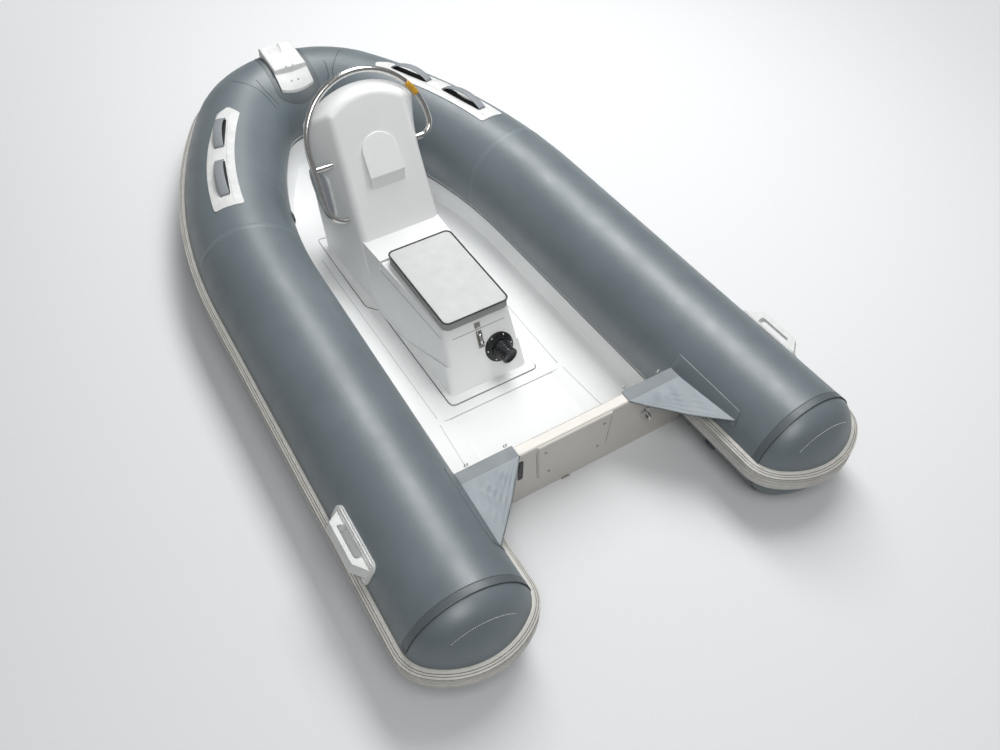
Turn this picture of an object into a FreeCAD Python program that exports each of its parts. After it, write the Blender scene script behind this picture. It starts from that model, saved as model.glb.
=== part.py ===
import FreeCAD, Part
import itertools
import math
import os
import Sketcher
from FreeCAD import Placement, Rotation, Vector

# Inflatable boat with a rigid hull, about 3.1 m long, afloat.
# +X points to the bow, +Y to port, +Z up, in millimetres. The origin is on the centreline,
# at the transom's aft face and at the height of the still water.
# The pieces are drawn about the plane through the tubes' axes, z = 0 there, and each is then
# placed "axis_height" higher.

doc = FreeCAD.newDocument("InflatableBoat")
sheet = doc.addObject("Spreadsheet::Sheet", "Sizes")
rows = itertools.count(1)
UP = Vector(0, 0, 1)
PORT_TO_STARBOARD = Vector(0, 1, 0)


class Size(float):
    """A number that carries the sheet formula it comes from."""

    def __new__(cls, number, formula):
        made = super().__new__(cls, number)
        made.formula = formula
        return made

    def __add__(self, other):
        return Size(float(self) + float(other), f"({self.formula} + {formula_of(other)})")

    def __radd__(self, other):
        return Size(float(other) + float(self), f"({formula_of(other)} + {self.formula})")

    def __sub__(self, other):
        return Size(float(self) - float(other), f"({self.formula} - {formula_of(other)})")

    def __rsub__(self, other):
        return Size(float(other) - float(self), f"({formula_of(other)} - {self.formula})")

    def __mul__(self, other):
        if isinstance(other, Vector):
            return other * float(self)
        return Size(float(self) * float(other), f"({self.formula} * {formula_of(other)})")

    __rmul__ = __mul__

    def __truediv__(self, other):
        return Size(float(self) / float(other), f"({self.formula} / {formula_of(other)})")

    def __neg__(self):
        return Size(-float(self), f"(-1 * {self.formula})")


def formula_of(number):
    return getattr(number, "formula", repr(float(number)))


def size(alias, number, meaning):
    """Enter one driving size in the sheet."""
    row = next(rows)
    sheet.set(f"A{row}", meaning)
    sheet.set(f"B{row}", str(number))
    sheet.setAlias(f"B{row}", alias)
    return Size(number, f"Sizes.{alias}")


# Buoyancy tube
axis_height = size("axis_height", 180, "tube axis above the still water")
tube_radius = size("tube_radius", 210, "radius of the inflated tube")
axis_spread = size("axis_spread", 629, "tube axis from the centreline at the transom")
axis_taper = size("axis_taper", 1.5, "inward run of each side tube, degrees")
straight_reach = size("straight_reach", 1130, "where the side tubes start to curve")
shoulder_radius = size("shoulder_radius", 2160, "bend of the tube axis at the shoulder")
bow_radius = size("bow_radius", 330, "bend of the tube axis round the bow")
tail_reach = size("tail_reach", 372, "side tube aft of the transom, to the cone seam")
cone_depth = size("cone_depth", 151, "length of the end cone aft of its seam")
cone_corner = size("cone_corner", 115, "corner radius of the end cone's outline")
chamber_turn = size("chamber_turn", 7.1, "heading of the tube at the chamber seams, degrees")
skin_gap = size("skin_gap", 0.3, "clearance under what is laid on the tube")

# Rub strake
strake_low = size("strake_low", 30, "strake's lower edge below the tube axis")
strake_high = size("strake_high", 48, "strake's upper edge above the tube axis")
strake_depth = size("strake_depth", 20, "how far the strake stands off the tube")
strake_groove = size("strake_groove", 5, "depth of the grooves between the strake's ribs")
strake_edge = size("strake_edge", 6, "thickness of the strake's thin edges")
transom_gap = size("transom_gap", 3, "strake's end short of the transom")

# Rigid hull
keel_depth = size("keel_depth", 280, "keel below the tube axis")
keel_flat = size("keel_flat", 16, "half width of the keel's flat")
chine_depth = size("chine_depth", 165, "chine below the tube axis")
chine_inset = size("chine_inset", 130, "chine inboard of the tube axis")
hull_inset = size("hull_inset", 118, "hull's edge inboard of the tube axis")
forefoot_reach = size("forefoot_reach", 1300, "where the keel starts to rise")
stem_reach = size("stem_reach", 2262, "where the rising keel would end")
stem_rise = size("stem_rise", 130, "rise of the keel to the stem")
runner_share = size("runner_share", 0.55, "lifting strake's place between keel and chine")
runner_width = size("runner_width", 22, "width of the lifting strakes")
hull_skin = size("hull_skin", 6, "hull's laminate under the deck liner")

# Deck liner
liner_wall = size("liner_wall", 5, "thickness of the laminate")
liner_rim = size("liner_rim", 100, "liner's upper edge below the tube axis")
floor_depth = size("floor_depth", 215, "floor below the tube axis")
liner_corner = size("liner_corner", 105, "round between floor and sides")
floor_step = size("floor_step", 4, "height of the floor's raised panel")
panel_aft = size("panel_aft", 452, "aft edge of the raised panel")
panel_side = size("panel_side", 265, "half width of the raised panel")
panel_taper = size("panel_taper", 1480, "where the raised panel starts to narrow")
panel_tip = size("panel_tip", 1990, "front edge of the raised panel")
panel_tip_half = size("panel_tip_half", 90, "half width of the raised panel's front")
panel_round = size("panel_round", 20, "corner radius of the raised panel")

# Transom
transom_thickness = size("transom_thickness", 43, "thickness of the transom")
transom_top = size("transom_top", 78, "transom's top above the tube axis")
transom_edge = size("transom_edge", 8, "round of the transom's top edges")
pad_top = size("pad_top", 74, "motor pad's top above the tube axis")
pad_foot = size("pad_foot", 96, "motor pad's bottom below the tube axis")
pad_top_half = size("pad_top_half", 150, "half width of the motor pad's top")
pad_foot_half = size("pad_foot_half", 138, "half width of the motor pad's bottom")
pad_thickness = size("pad_thickness", 6, "thickness of the motor pad")
pad_bevel = size("pad_bevel", 4, "bevel round the motor pad")
drain_side = size("drain_side", 21, "drain fitting to port of the centreline")
drain_depth = size("drain_depth", 196, "drain fitting below the tube axis")
drain_radius = size("drain_radius", 24, "radius of the drain's flange")
drain_flange = size("drain_flange", 4, "thickness of the drain's flange")
drain_cap_radius = size("drain_cap_radius", 14, "radius of the drain's screw cap")
drain_cap_height = size("drain_cap_height", 12, "height of the drain's screw cap")

# Gussets between the transom and the tubes
gusset_inner = size("gusset_inner", 218, "gusset's inner corner from the centreline")
gusset_reach = size("gusset_reach", 265, "gusset's tip aft of the transom")
gusset_front = size("gusset_front", 48, "gusset's front edge ahead of the transom's aft face")
gusset_rise = size("gusset_rise", 26, "rise of the gusset from the transom to its tip")
gusset_sheet = size("gusset_sheet", 2.5, "thickness of the gusset's cloth")
tab_top = size("tab_top", 132, "gusset's glued tab, upper edge above the tube axis")

# Handles, pads and the bow fitting
pad_sheet = size("pad_sheet", 3, "thickness of the white handle pads")
pad_aft_turn = size("pad_aft_turn", 10.8, "heading of the tube at the pad's aft end, degrees")
pad_front_turn = size("pad_front_turn", 28.5, "heading at the pad's front end, degrees")
pad_outer_aft = size("pad_outer_aft", 66, "pad's outboard edge above the level at its aft end, degrees")
pad_outer_mid = size("pad_outer_mid", 67, "the same at the pad's middle")
pad_outer_front = size("pad_outer_front", 76, "the same where the pad's nose starts")
pad_nose = size("pad_nose", 86, "point of the pad's nose above the level, degrees")
pad_inner_front = size("pad_inner_front", 101, "pad's inboard edge above the level at its nose, degrees")
pad_inner_mid = size("pad_inner_mid", 98, "the same at the pad's middle")
pad_inner_aft = size("pad_inner_aft", 99, "the same at the pad's aft end")
pad_body = size("pad_body", 0.94, "share of the pad's length behind its nose")
pad_round = size("pad_round", 14, "corner radius of the handle pads")
strap_one = size("strap_one", 0.27, "middle of the aft grab strap, as a share of the pad's length")
strap_two = size("strap_two", 0.72, "middle of the front grab strap")
strap_share = size("strap_share", 0.32, "length of each grab strap, as a share of the pad's length")
strap_width = size("strap_width", 36, "width of the grab straps")
strap_sheet = size("strap_sheet", 4, "thickness of the grab straps")
strap_rise = size("strap_rise", 30, "height of the grab straps' arch")
strap_lean = size("strap_lean", 82, "angle of the straps above the outboard level, degrees")
carry_front = size("carry_front", 100, "carry handle's front end ahead of the transom")
carry_aft = size("carry_aft", 160, "carry handle's aft end behind the transom")
carry_lean = size("carry_lean", 27, "angle of the carry handles above the level, degrees")
carry_width = size("carry_width", 88, "width of the carry handles' flange, round the tube")
carry_sheet = size("carry_sheet", 5, "thickness of the carry handles' flange")
carry_corner = size("carry_corner", 26, "corner radius of the carry handles' flange")
carry_end = size("carry_end", 14, "carry handles' grip short of the flange's ends")
carry_rise = size("carry_rise", 48, "height of the carry handles' grip")
carry_bar = size("carry_bar", 16, "thickness of the carry handles' grip")
carry_grip = size("carry_grip", 34, "width of the carry handles' grip")
carry_gap = size("carry_gap", 130, "length of the carry handles' finger gap")
chock_half = size("chock_half", 76, "half width of the bow chock")
chock_sheet = size("chock_sheet", 9, "thickness of the chock's saddle")
chock_front = size("chock_front", 72, "chock's front edge ahead of the bow tube's axis")
chock_back = size("chock_back", 168, "chock's aft edge behind the bow tube's axis")
chock_top = size("chock_top", 245, "top of the chock above the tube axis")
chock_slope = size("chock_slope", 24, "fall of the chock's top towards the aft")
chock_notch = size("chock_notch", 22, "radius of the rope notch in the chock")
chock_round = size("chock_round", 7, "round of the chock's upper edges")
block_reach = size("block_reach", 0.6, "chock's block over its saddle, as a share of the saddle's back")
dish_rise = size("dish_rise", 2.4, "middle of the chock's dish above its top, in notch radii")
patch_margin = size("patch_margin", 26, "patch under the chock, beyond its edges")
patch_sheet = size("patch_sheet", 1.2, "thickness of the patch")

# Seat box
mould_wall = size("mould_wall", 5, "thickness of the seat and console mouldings")
seat_base_aft = size("seat_base_aft", 530, "seat box's aft edge at the floor")
seat_top_aft = size("seat_top_aft", 636, "seat box's aft edge at the top")
seat_top = size("seat_top", 35, "seat box's top above the tube axis")
seat_base_half = size("seat_base_half", 160, "half width of the box's aft end at the floor")
seat_top_half = size("seat_top_half", 140, "half width of the box's aft end at the top")
seat_splay = size("seat_splay", 30, "how much wider the seat box is at the console")
seat_round = size("seat_round", 22, "round of the seat box's aft corners")
step_aft = size("step_aft", 1092, "aft face of the step between the lid and the console")
lid_line = size("lid_line", 5, "lid's lower edge below the tube axis")
ridge_step = size("ridge_step", 6, "how far the seat box's side ridge stands out")
ridge_front = size("ridge_front", 870, "where the side ridge leaves the floor")
ridge_foot = size("ridge_foot", 14, "side ridge above the floor there")
ridge_head = size("ridge_head", 132, "side ridge above the floor at the box's aft edge")
flange_aft = size("flange_aft", 497, "aft edge of the mouldings' base flange")
flange_half = size("flange_half", 189, "half width of the base flange at the seat")
flange_wide = size("flange_wide", 226, "half width of the base flange at the console")
flange_jog = size("flange_jog", 1110, "where the base flange widens")
flange_front = size("flange_front", 1600, "front edge of the base flange")
flange_sheet = size("flange_sheet", 5, "thickness of the base flange")
flange_round = size("flange_round", 24, "corner radius of the base flange")

# Seat
cushion_aft = size("cushion_aft", 622, "cushion's aft edge")
cushion_front = size("cushion_front", 1080, "cushion's front edge")
cushion_half = size("cushion_half", 139, "half width of the cushion")
cushion_top = size("cushion_top", 80, "cushion's top above the tube axis")
cushion_round = size("cushion_round", 26, "corner radius of the cushion")
cushion_edge = size("cushion_edge", 5, "round of the cushion's upper edge")
soft_gap = size("soft_gap", 0.3, "clearance round soft pieces")
hinge_ahead = size("hinge_ahead", 6.5, "hinge pin ahead of the cushion")
hinge_above = size("hinge_above", 5.0, "hinge pin above the seat box's top")
hinge_barrel = size("hinge_barrel", 3.6, "radius of the hinge barrel")
hinge_pin = size("hinge_pin", 1.8, "radius of the hinge pin")
hinge_fit = size("hinge_fit", 0.08, "clearance round the hinge pin")
hinge_leaf_sheet = size("hinge_leaf_sheet", 1.5, "thickness of the hinge leaves")
hinge_leaf_long = size("hinge_leaf_long", 24, "length of the fixed hinge leaf")
hinge_width = size("hinge_width", 60, "width of each hinge")
hinge_side = size("hinge_side", 85, "hinge's middle from the centreline")

# Console
console_slope = size("console_slope", 0.5, "run of the aft face for each unit of height")
console_face = size("console_face", 1200, "aft face of the console at the tube axis")
console_front = size("console_front", 1565, "front face of the console at the floor")
console_head_front = size("console_head_front", 1560, "front of the console's head")
console_aft_half = size("console_aft_half", 184, "half width of the aft face at the floor")
console_front_half = size("console_front_half", 206, "half width of the front at the floor")
console_head_aft = size("console_head_aft", 146, "half width of the aft face at the top")
console_head_half = size("console_head_half", 270, "half width of the front at the top")
console_top = size("console_top", 528, "console's top above the tube axis")
arch_radius = size("arch_radius", 290, "radius of the console's arched head")
console_round = size("console_round", 32, "round of the console's edges")
pod_foot = size("pod_foot", 202, "dash pod's foot above the tube axis")
pod_crease = size("pod_crease", 246, "lower edge of the dash pod's face")
pod_head = size("pod_head", 390, "top of the dash pod")
pod_half = size("pod_half", 74, "half width of the dash pod")
pod_lift = size("pod_lift", 26, "dash pod's face off the console at its lower edge")
pod_round = size("pod_round", 4, "round of the dash pod's edges")
pod_root = size("pod_root", 10, "dash pod's root inside the console")
pod_crown = size("pod_crown", 0.9, "rise of the dash pod's arched head, as a share of its half width")

# Side panel
panel_middle = size("panel_middle", 1462, "middle of the side panel")
panel_height = size("panel_height", 135, "middle of the side panel above the tube axis")
panel_half_long = size("panel_half_long", 112, "half height of the side panel")
panel_half_wide = size("panel_half_wide", 60, "half width of the side panel")
panel_lean = size("panel_lean", 14, "forward lean of the side panel, degrees")
panel_bezel = size("panel_bezel", 9, "width of the side panel's rim")
panel_stand = size("panel_stand", 8, "how far the side panel stands off the console")
panel_lens = size("panel_lens", 3, "thickness of the side panel's clear cover")

# Rail hoop
rail_radius = size("rail_radius", 12.5, "radius of the rail's tube")
rail_plane = size("rail_plane", 1265, "plane of the hoop at the tube axis")
rail_half = size("rail_half", 257, "radius of the hoop's arch")
rail_centre = size("rail_centre", 378, "arch's centre up the hoop's plane")
rail_foot = size("rail_foot", 102, "port foot up the hoop's plane")
rail_foot_bend = size("rail_foot_bend", 78, "bend above the port foot")
rail_arm = size("rail_arm", 326, "upper ends up the hoop's plane")
rail_arm_bend = size("rail_arm_bend", 50, "bend at the starboard end")
rail_seat = size("rail_seat", 1.0, "rail's ends clear of the console's side")

# Small fittings
latch_side = size("latch_side", 3, "latch to port of the centreline")
latch_width = size("latch_width", 24, "width of the toggle latch")
latch_long = size("latch_long", 70, "length of the toggle latch's plate")
latch_sheet = size("latch_sheet", 2.5, "thickness of the latch's plates")
latch_gap = size("latch_gap", 5, "latch's plates from the lid's lower edge")
catch_long = size("catch_long", 20, "length of the latch's catch")
lever_wide = size("lever_wide", 13.2, "width of the latch's lever")
lever_long = size("lever_long", 42, "length of the latch's lever")
lever_low = size("lever_low", 28, "lever's lower end below the middle of the latch")
boot_side = size("boot_side", 66, "cable boot to starboard of the centreline")
boot_depth = size("boot_depth", 101, "cable boot's middle below the tube axis")
boot_turn = size("boot_turn", 9, "cable boot's neck to starboard of straight aft, degrees")
boot_sheet = size("boot_sheet", 4, "thickness of the cable boot's flange")
boot_shoulder = size("boot_shoulder", 28, "cable boot's shoulder aft of the box's face")
boot_flange = size("boot_flange", 38, "radius of the cable boot's flange")
boot_neck = size("boot_neck", 21, "radius of the cable boot's mouth")
boot_bore = size("boot_bore", 14, "radius of the cable boot's bore")
boot_length = size("boot_length", 60, "length of the cable boot")
boot_foot = size("boot_foot", 30.4, "radius of the cable boot's neck at its foot")
boot_waist = size("boot_waist", 26.6, "radius of the cable boot's neck at its shoulder")
eye_side = size("eye_side", 300, "towing eye from the centreline")
eye_depth = size("eye_depth", 30, "towing eye below the tube axis")
eye_bore = size("eye_bore", 9, "radius of the hole in each eye")
eye_rod = size("eye_rod", 4, "radius of the eyes' rod")
eye_plate = size("eye_plate", 22, "radius of the eyes' base plate")
eye_sheet = size("eye_sheet", 3, "thickness of the eyes' base plate")
eye_setback = size("eye_setback", 46, "bow eye aft of the hull's front edge")
valve_radius = size("valve_radius", 24, "radius of the inflation valves")
valve_height = size("valve_height", 7, "height of the inflation valves")
cap_foot = size("cap_foot", 18, "radius of the valves' caps at their foot")
cap_head = size("cap_head", 14.4, "radius of the valves' caps at their head")
valve_drop = size("valve_drop", 30, "angle of the side valves below the level, degrees")
bow_valve_turn = size("bow_valve_turn", 13, "heading of the tube at the bow chamber's valve, degrees")
bow_valve_lift = size("bow_valve_lift", 8, "angle of that valve above the level, degrees")

doc.recompute()


# Plan of the tube's axis: straight sides, a long arc at each shoulder, one arc round the bow
taper = math.radians(axis_taper)


def straight_point(along, out=0.0, height=0.0):
    """A point beside the port tube's straight axis, "out" to its outboard side."""
    side = axis_spread - along * math.tan(taper)
    return Vector(along + out * math.sin(taper), side + out * math.cos(taper), height)


shoulder = straight_point(straight_reach, -shoulder_radius)
knuckle = math.acos(-shoulder.y / (shoulder_radius - bow_radius))
bow_centre = shoulder + (shoulder_radius - bow_radius) * Vector(math.sin(knuckle), math.cos(knuckle), 0)
bow_axis = bow_centre.x + bow_radius


def turn_point(turn, out=0.0, height=0.0):
    """A point beside the curved axis where the tube heads "turn" radians inboard."""
    heading = Vector(math.sin(turn), math.cos(turn), 0)
    if turn <= knuckle:
        return shoulder + (shoulder_radius + out) * heading + height * UP
    return bow_centre + (bow_radius + out) * heading + height * UP


def breadth(along, out):
    """Half breadth, at one place along the boat, of a line beside the tube's axis."""
    if along <= straight_reach:
        return straight_point(along, out).y
    if along <= turn_point(knuckle, out).x:
        return shoulder.y + math.sqrt((shoulder_radius + out) ** 2 - (along - shoulder.x) ** 2)
    return math.sqrt(max((bow_radius + out) ** 2 - (along - bow_centre.x) ** 2, 0.0))


def mirrored(shape):
    return shape.mirror(Vector(0, 0, 0), PORT_TO_STARBOARD)


def lined_up(shapes):
    """One solid from pieces that meet end to end."""
    return shapes[0].multiFuse(shapes[1:]).removeSplitter()


def swing(face, centre, turn):
    """Revolve a face about an upright axis, clockwise seen from above."""
    return face.revolve(Vector(centre.x, centre.y, 0), -UP, math.degrees(turn))


def disc(middle, along, radius):
    return Part.Face(Part.Wire(Part.makeCircle(radius, middle, along)))


def tail_direction():
    return Vector(-math.cos(taper), math.sin(taper), 0)


def side_run(radius, start, stop):
    """Solid round bar along the port tube's straight axis."""
    first = straight_point(start)
    return disc(first, -tail_direction(), radius).extrude(straight_point(stop) - first)


def turn_run(radius, start, stop):
    """Solid round bar along the curved axis, within one arc."""
    heading = Vector(math.cos(start), -math.sin(start), 0)
    centre = shoulder if stop <= knuckle + 1e-6 else bow_centre
    return swing(disc(turn_point(start), heading, radius), centre, stop - start)


def collar(radius):
    """The whole tube, from cone seam to cone seam, at a given radius."""
    side = [side_run(radius, -tail_reach, straight_reach), turn_run(radius, taper, knuckle)]
    bow = turn_run(radius, knuckle, math.pi - knuckle)
    return lined_up(side + [bow] + [mirrored(piece) for piece in side])


# End cone: a corner arc and a nose arc, tangent to each other and to the tube
cone_flat = tube_radius - cone_corner
cone_swell = cone_depth - cone_corner
nose_back = float((cone_flat**2 - cone_swell**2) / (2 * cone_swell))
nose_radius = cone_depth + nose_back
corner_turn = math.atan2(nose_back, cone_flat)


def end_cone(skin):
    """Port end cone, "skin" larger all over."""

    def corner_point(turn):
        reach = cone_corner + skin
        return Vector(reach * math.sin(turn), cone_flat + reach * math.cos(turn), 0)

    tip_turn = (corner_turn + math.pi / 2) / 2
    towards = Vector(math.sin(tip_turn), math.cos(tip_turn), 0)
    middle = Vector(-nose_back, 0, 0) + (nose_radius + skin) * towards
    tip = Vector(cone_depth + skin, 0, 0)
    edges = [
        Part.LineSegment(Vector(0, 0, 0), corner_point(0)),
        Part.Arc(corner_point(0), corner_point(corner_turn / 2), corner_point(corner_turn)),
        Part.Arc(corner_point(corner_turn), middle, tip),
        Part.LineSegment(tip, Vector(0, 0, 0)),
    ]
    profile = Part.Face(Part.Wire([edge.toShape() for edge in edges]))
    cone = profile.revolve(Vector(0, 0, 0), Vector(1, 0, 0), 360)
    cone.Placement = Placement(straight_point(-tail_reach), Rotation(Vector(1, 0, 0), tail_direction()))
    return cone


subparts = []


def keep(thing, name):
    """List a finished sub-part, named and raised to its height above the water."""
    thing.Label = name
    thing.setExpression("Placement.Base.z", (axis_height + thing.Placement.Base.z).formula)
    subparts.append(thing)
    return thing


def solid(name, shape):
    """A sub-part whose form is worked out above."""
    made = doc.addObject("Part::Feature", name)
    made.Shape = shape
    return keep(made, name)


def pair(name, shape):
    """A port piece and its mirror image to starboard."""
    solid(f"{name}_port", shape)
    solid(f"{name}_starboard", mirrored(shape))


# Tube chambers and end cones
seam_turn = math.radians(chamber_turn)
straight_side = side_run(tube_radius, -tail_reach, straight_reach)
pair("tube", lined_up([straight_side, turn_run(tube_radius, taper, seam_turn)]))
shoulder_piece = turn_run(tube_radius, seam_turn, knuckle)
bow_piece = turn_run(tube_radius, knuckle, math.pi - knuckle)
solid("tube_bow", lined_up([shoulder_piece, bow_piece, mirrored(shoulder_piece)]))
pair("cone", end_cone(0.0))

tube_skin = collar(tube_radius + skin_gap)


# Rub strake: one ribbed section carried round the cones, the sides and the bow
def strake_face(base, out):
    """The strake's section beside a point of the tube's axis."""
    back = tube_radius + skin_gap
    front = tube_radius + strake_depth
    low = -strake_low
    high = strake_high
    tall = strake_low + strake_high
    groove_half = tall / 26

    def at(reach, height):
        return base + reach * out + height * UP

    def back_reach(height):
        return math.sqrt(back**2 - height**2)

    corners = [
        at(back_reach(low), low),
        at(back_reach(low) + strake_edge, low),
        at(front, low + tall * 0.14),
    ]
    for share in (0.38, 0.62):
        middle = low + tall * share
        corners.append(at(front, middle - groove_half))
        corners.append(at(front - strake_groove, middle))
        corners.append(at(front, middle + groove_half))
    corners += [
        at(front, high - tall * 0.14),
        at(back_reach(high) + strake_edge, high),
        at(back_reach(high), high),
    ]
    edges = [Part.LineSegment(a, b).toShape() for a, b in zip(corners, corners[1:])]
    edges.append(Part.Arc(corners[-1], at(back, 0), corners[0]).toShape())
    return Part.Face(Part.Wire(edges))


def strake_side():
    """Port half of the strake, from the transom round the cone to the bow's arc."""
    outward = Vector(math.sin(taper), math.cos(taper), 0)
    seam = straight_point(-tail_reach)
    outer = strake_face(seam, outward)
    inner = strake_face(seam, -outward)
    offset = (tube_radius - cone_corner) * outward
    nose = seam - nose_back * tail_direction()
    knuckle_out = Vector(math.sin(knuckle), math.cos(knuckle), 0)
    turned = strake_face(seam, outward)
    turned.rotate(seam + offset, UP, math.degrees(corner_turn))
    nose_face = Part.Face(turned.Wires[0])
    return [
        outer.extrude(straight_point(straight_reach) - seam),
        swing(strake_face(straight_point(straight_reach), outward), shoulder, knuckle - taper),
        swing(outer, seam + offset, -corner_turn),
        swing(nose_face, nose, -(math.pi - 2 * corner_turn)),
        swing(inner, seam - offset, corner_turn),
        inner.extrude(straight_point(-transom_gap) - seam),
    ], strake_face(turn_point(knuckle), knuckle_out)


strake_pieces, bow_face = strake_side()
bow_strake = swing(bow_face, bow_centre, math.pi - 2 * knuckle)
strake = lined_up(strake_pieces + [bow_strake] + [mirrored(piece) for piece in strake_pieces])
cone_skin = end_cone(float(skin_gap))
solid("rub_strake", strake.cut(cone_skin).cut(mirrored(cone_skin)))


# Rigid hull: deep V with a rising forefoot and a lifting strake each side
def keel_line(along):
    """Height of the keel at one place along the boat."""
    if along <= forefoot_reach:
        return -float(keel_depth)
    share = (along - forefoot_reach) / (stem_reach - forefoot_reach)
    return -keel_depth + stem_rise * (1 - math.sqrt(1 - min(share, 0.995) ** 2))


def hull_section(along, raised=0.0):
    """Cross-section of the hull's bottom, wider than the boat, or of a plain V above it."""
    keel = keel_line(along)
    half = max(breadth(along, -chine_inset), chine_inset / 2)
    rise = (-chine_depth - keel) / (half - keel_flat)
    far = half + 2 * (chine_inset - hull_inset) + runner_width
    runner = keel_flat + runner_share * (half - keel_flat)
    width = runner_width * half / breadth(0, -chine_inset)

    def bottom(side):
        return keel + (side - keel_flat) * rise

    right = [(keel_flat, keel)]
    if not raised:
        right += [
            (runner, bottom(runner)),
            (runner + width, bottom(runner)),
            (runner + width, bottom(runner + width)),
        ]
    right += [(far, bottom(far)), (far, bottom(far) + keel_depth)]
    left = [(-side, height) for side, height in reversed(right)]
    points = [Vector(along, side, height + raised) for side, height in left + right]
    return Part.makePolygon(points + [points[0]])


def plan_face(out, start, height):
    """Plan of the space between the tubes, forward of "start", "out" from the tube's axis."""
    aft = Vector(start, breadth(start, out), height)
    end = straight_point(straight_reach, out, height)
    corner = turn_point(knuckle, out, height)
    between = turn_point((taper + knuckle) / 2, out, height)
    port = [
        Part.LineSegment(aft, end).toShape(),
        Part.Arc(end, between, corner).toShape(),
    ]
    crown = turn_point(math.pi / 2, out, height)
    bow = Part.Arc(corner, crown, Vector(corner.x, -corner.y, height)).toShape()
    across = Part.LineSegment(Vector(start, -aft.y, height), aft).toShape()
    edges = port + [bow] + [mirrored(edge) for edge in port] + [across]
    return Part.Face(Part.Wire(Part.__sortEdges__(edges)))


def tub(out, floor, corner, top):
    """Solid with the cockpit's plan, rounded where the floor meets the sides."""
    block = plan_face(out, transom_thickness, floor).extrude(Vector(0, 0, top - floor))
    sides = [
        edge
        for edge in block.Edges
        if edge.BoundBox.ZMax < floor + 1e-3 and edge.BoundBox.XMax > transom_thickness + 1
    ]
    return block.makeFillet(corner, sides)


def bottom_form(raised=0.0):
    return Part.makeLoft([hull_section(float(along), raised) for along in stations], True, True)


rim_inset = math.sqrt(tube_radius**2 - liner_rim**2)
rise_span = stem_reach - forefoot_reach
stations = [transom_thickness, forefoot_reach]
rise_steps = 9
for step in range(1, rise_steps + 1):
    stations.append(forefoot_reach + rise_span * math.sin(math.pi / 2 * step / rise_steps))
low_floor = floor_depth + floor_step
liner_form = tub(-rim_inset, -low_floor - liner_wall, liner_corner + liner_wall, -liner_rim)
liner_form = liner_form.common(bottom_form(float(hull_skin)))
liner_space = tub(-rim_inset - liner_wall, -low_floor, liner_corner, float(liner_wall))
liner_space = liner_space.common(bottom_form(float(hull_skin + liner_wall)))
hull_plan = plan_face(-hull_inset, transom_thickness, -2 * keel_depth)
hull_block = hull_plan.extrude(Vector(0, 0, 2 * keel_depth - liner_rim))
hull_parts = bottom_form().common(hull_block).cut(tube_skin).cut(liner_form)
hull = max(hull_parts.Solids, key=lambda body: body.Volume)
solid("hull", hull)

# Features drawn in sketches
def plane_of(body, role):
    return next(plane for plane in body.Origin.OriginFeatures if plane.Role == role)


def new_body(name):
    return doc.addObject("PartDesign::Body", name)


def new_sketch(body, name, role, height=None):
    """A sketch on one of the body's own planes, raised by "height"."""
    sketch = body.newObject("Sketcher::SketchObject", name)
    sketch.AttachmentSupport = [(plane_of(body, role), "")]
    sketch.MapMode = "FlatFace"
    if height is not None:
        sketch.AttachmentOffset = Placement(Vector(0, 0, float(height)), Rotation())
        sketch.setExpression("AttachmentOffset.Base.z", formula_of(height))
    return sketch


ORIGIN_POINT = (-1, 1)


def hold(sketch, kind, geometry, point, number):
    """Measure one point of a sketch from its origin."""
    if abs(float(number)) < 1e-9:
        axis = -2 if kind == "DistanceX" else -1
        sketch.addConstraint(Sketcher.Constraint("PointOnObject", geometry, point, axis))
        return
    at = sketch.addConstraint(Sketcher.Constraint(kind, *ORIGIN_POINT, geometry, point, float(number)))
    sketch.setExpression(f"Constraints[{at}]", formula_of(number))


def outline(sketch, corners):
    """A closed outline of straight lines with every corner measured."""
    points = [Vector(float(x), float(y), 0) for x, y in corners]
    count = len(corners)
    first = sketch.GeometryCount
    for index in range(count):
        sketch.addGeometry(Part.LineSegment(points[index], points[(index + 1) % count]))
    for index in range(count):
        follower = (index + 1) % count
        sketch.addConstraint(Sketcher.Constraint("Coincident", first + index, 2, first + follower, 1))
    for index, (x, y) in enumerate(corners):
        hold(sketch, "DistanceX", first + index, 1, x)
        hold(sketch, "DistanceY", first + index, 1, y)
    return sketch


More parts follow.
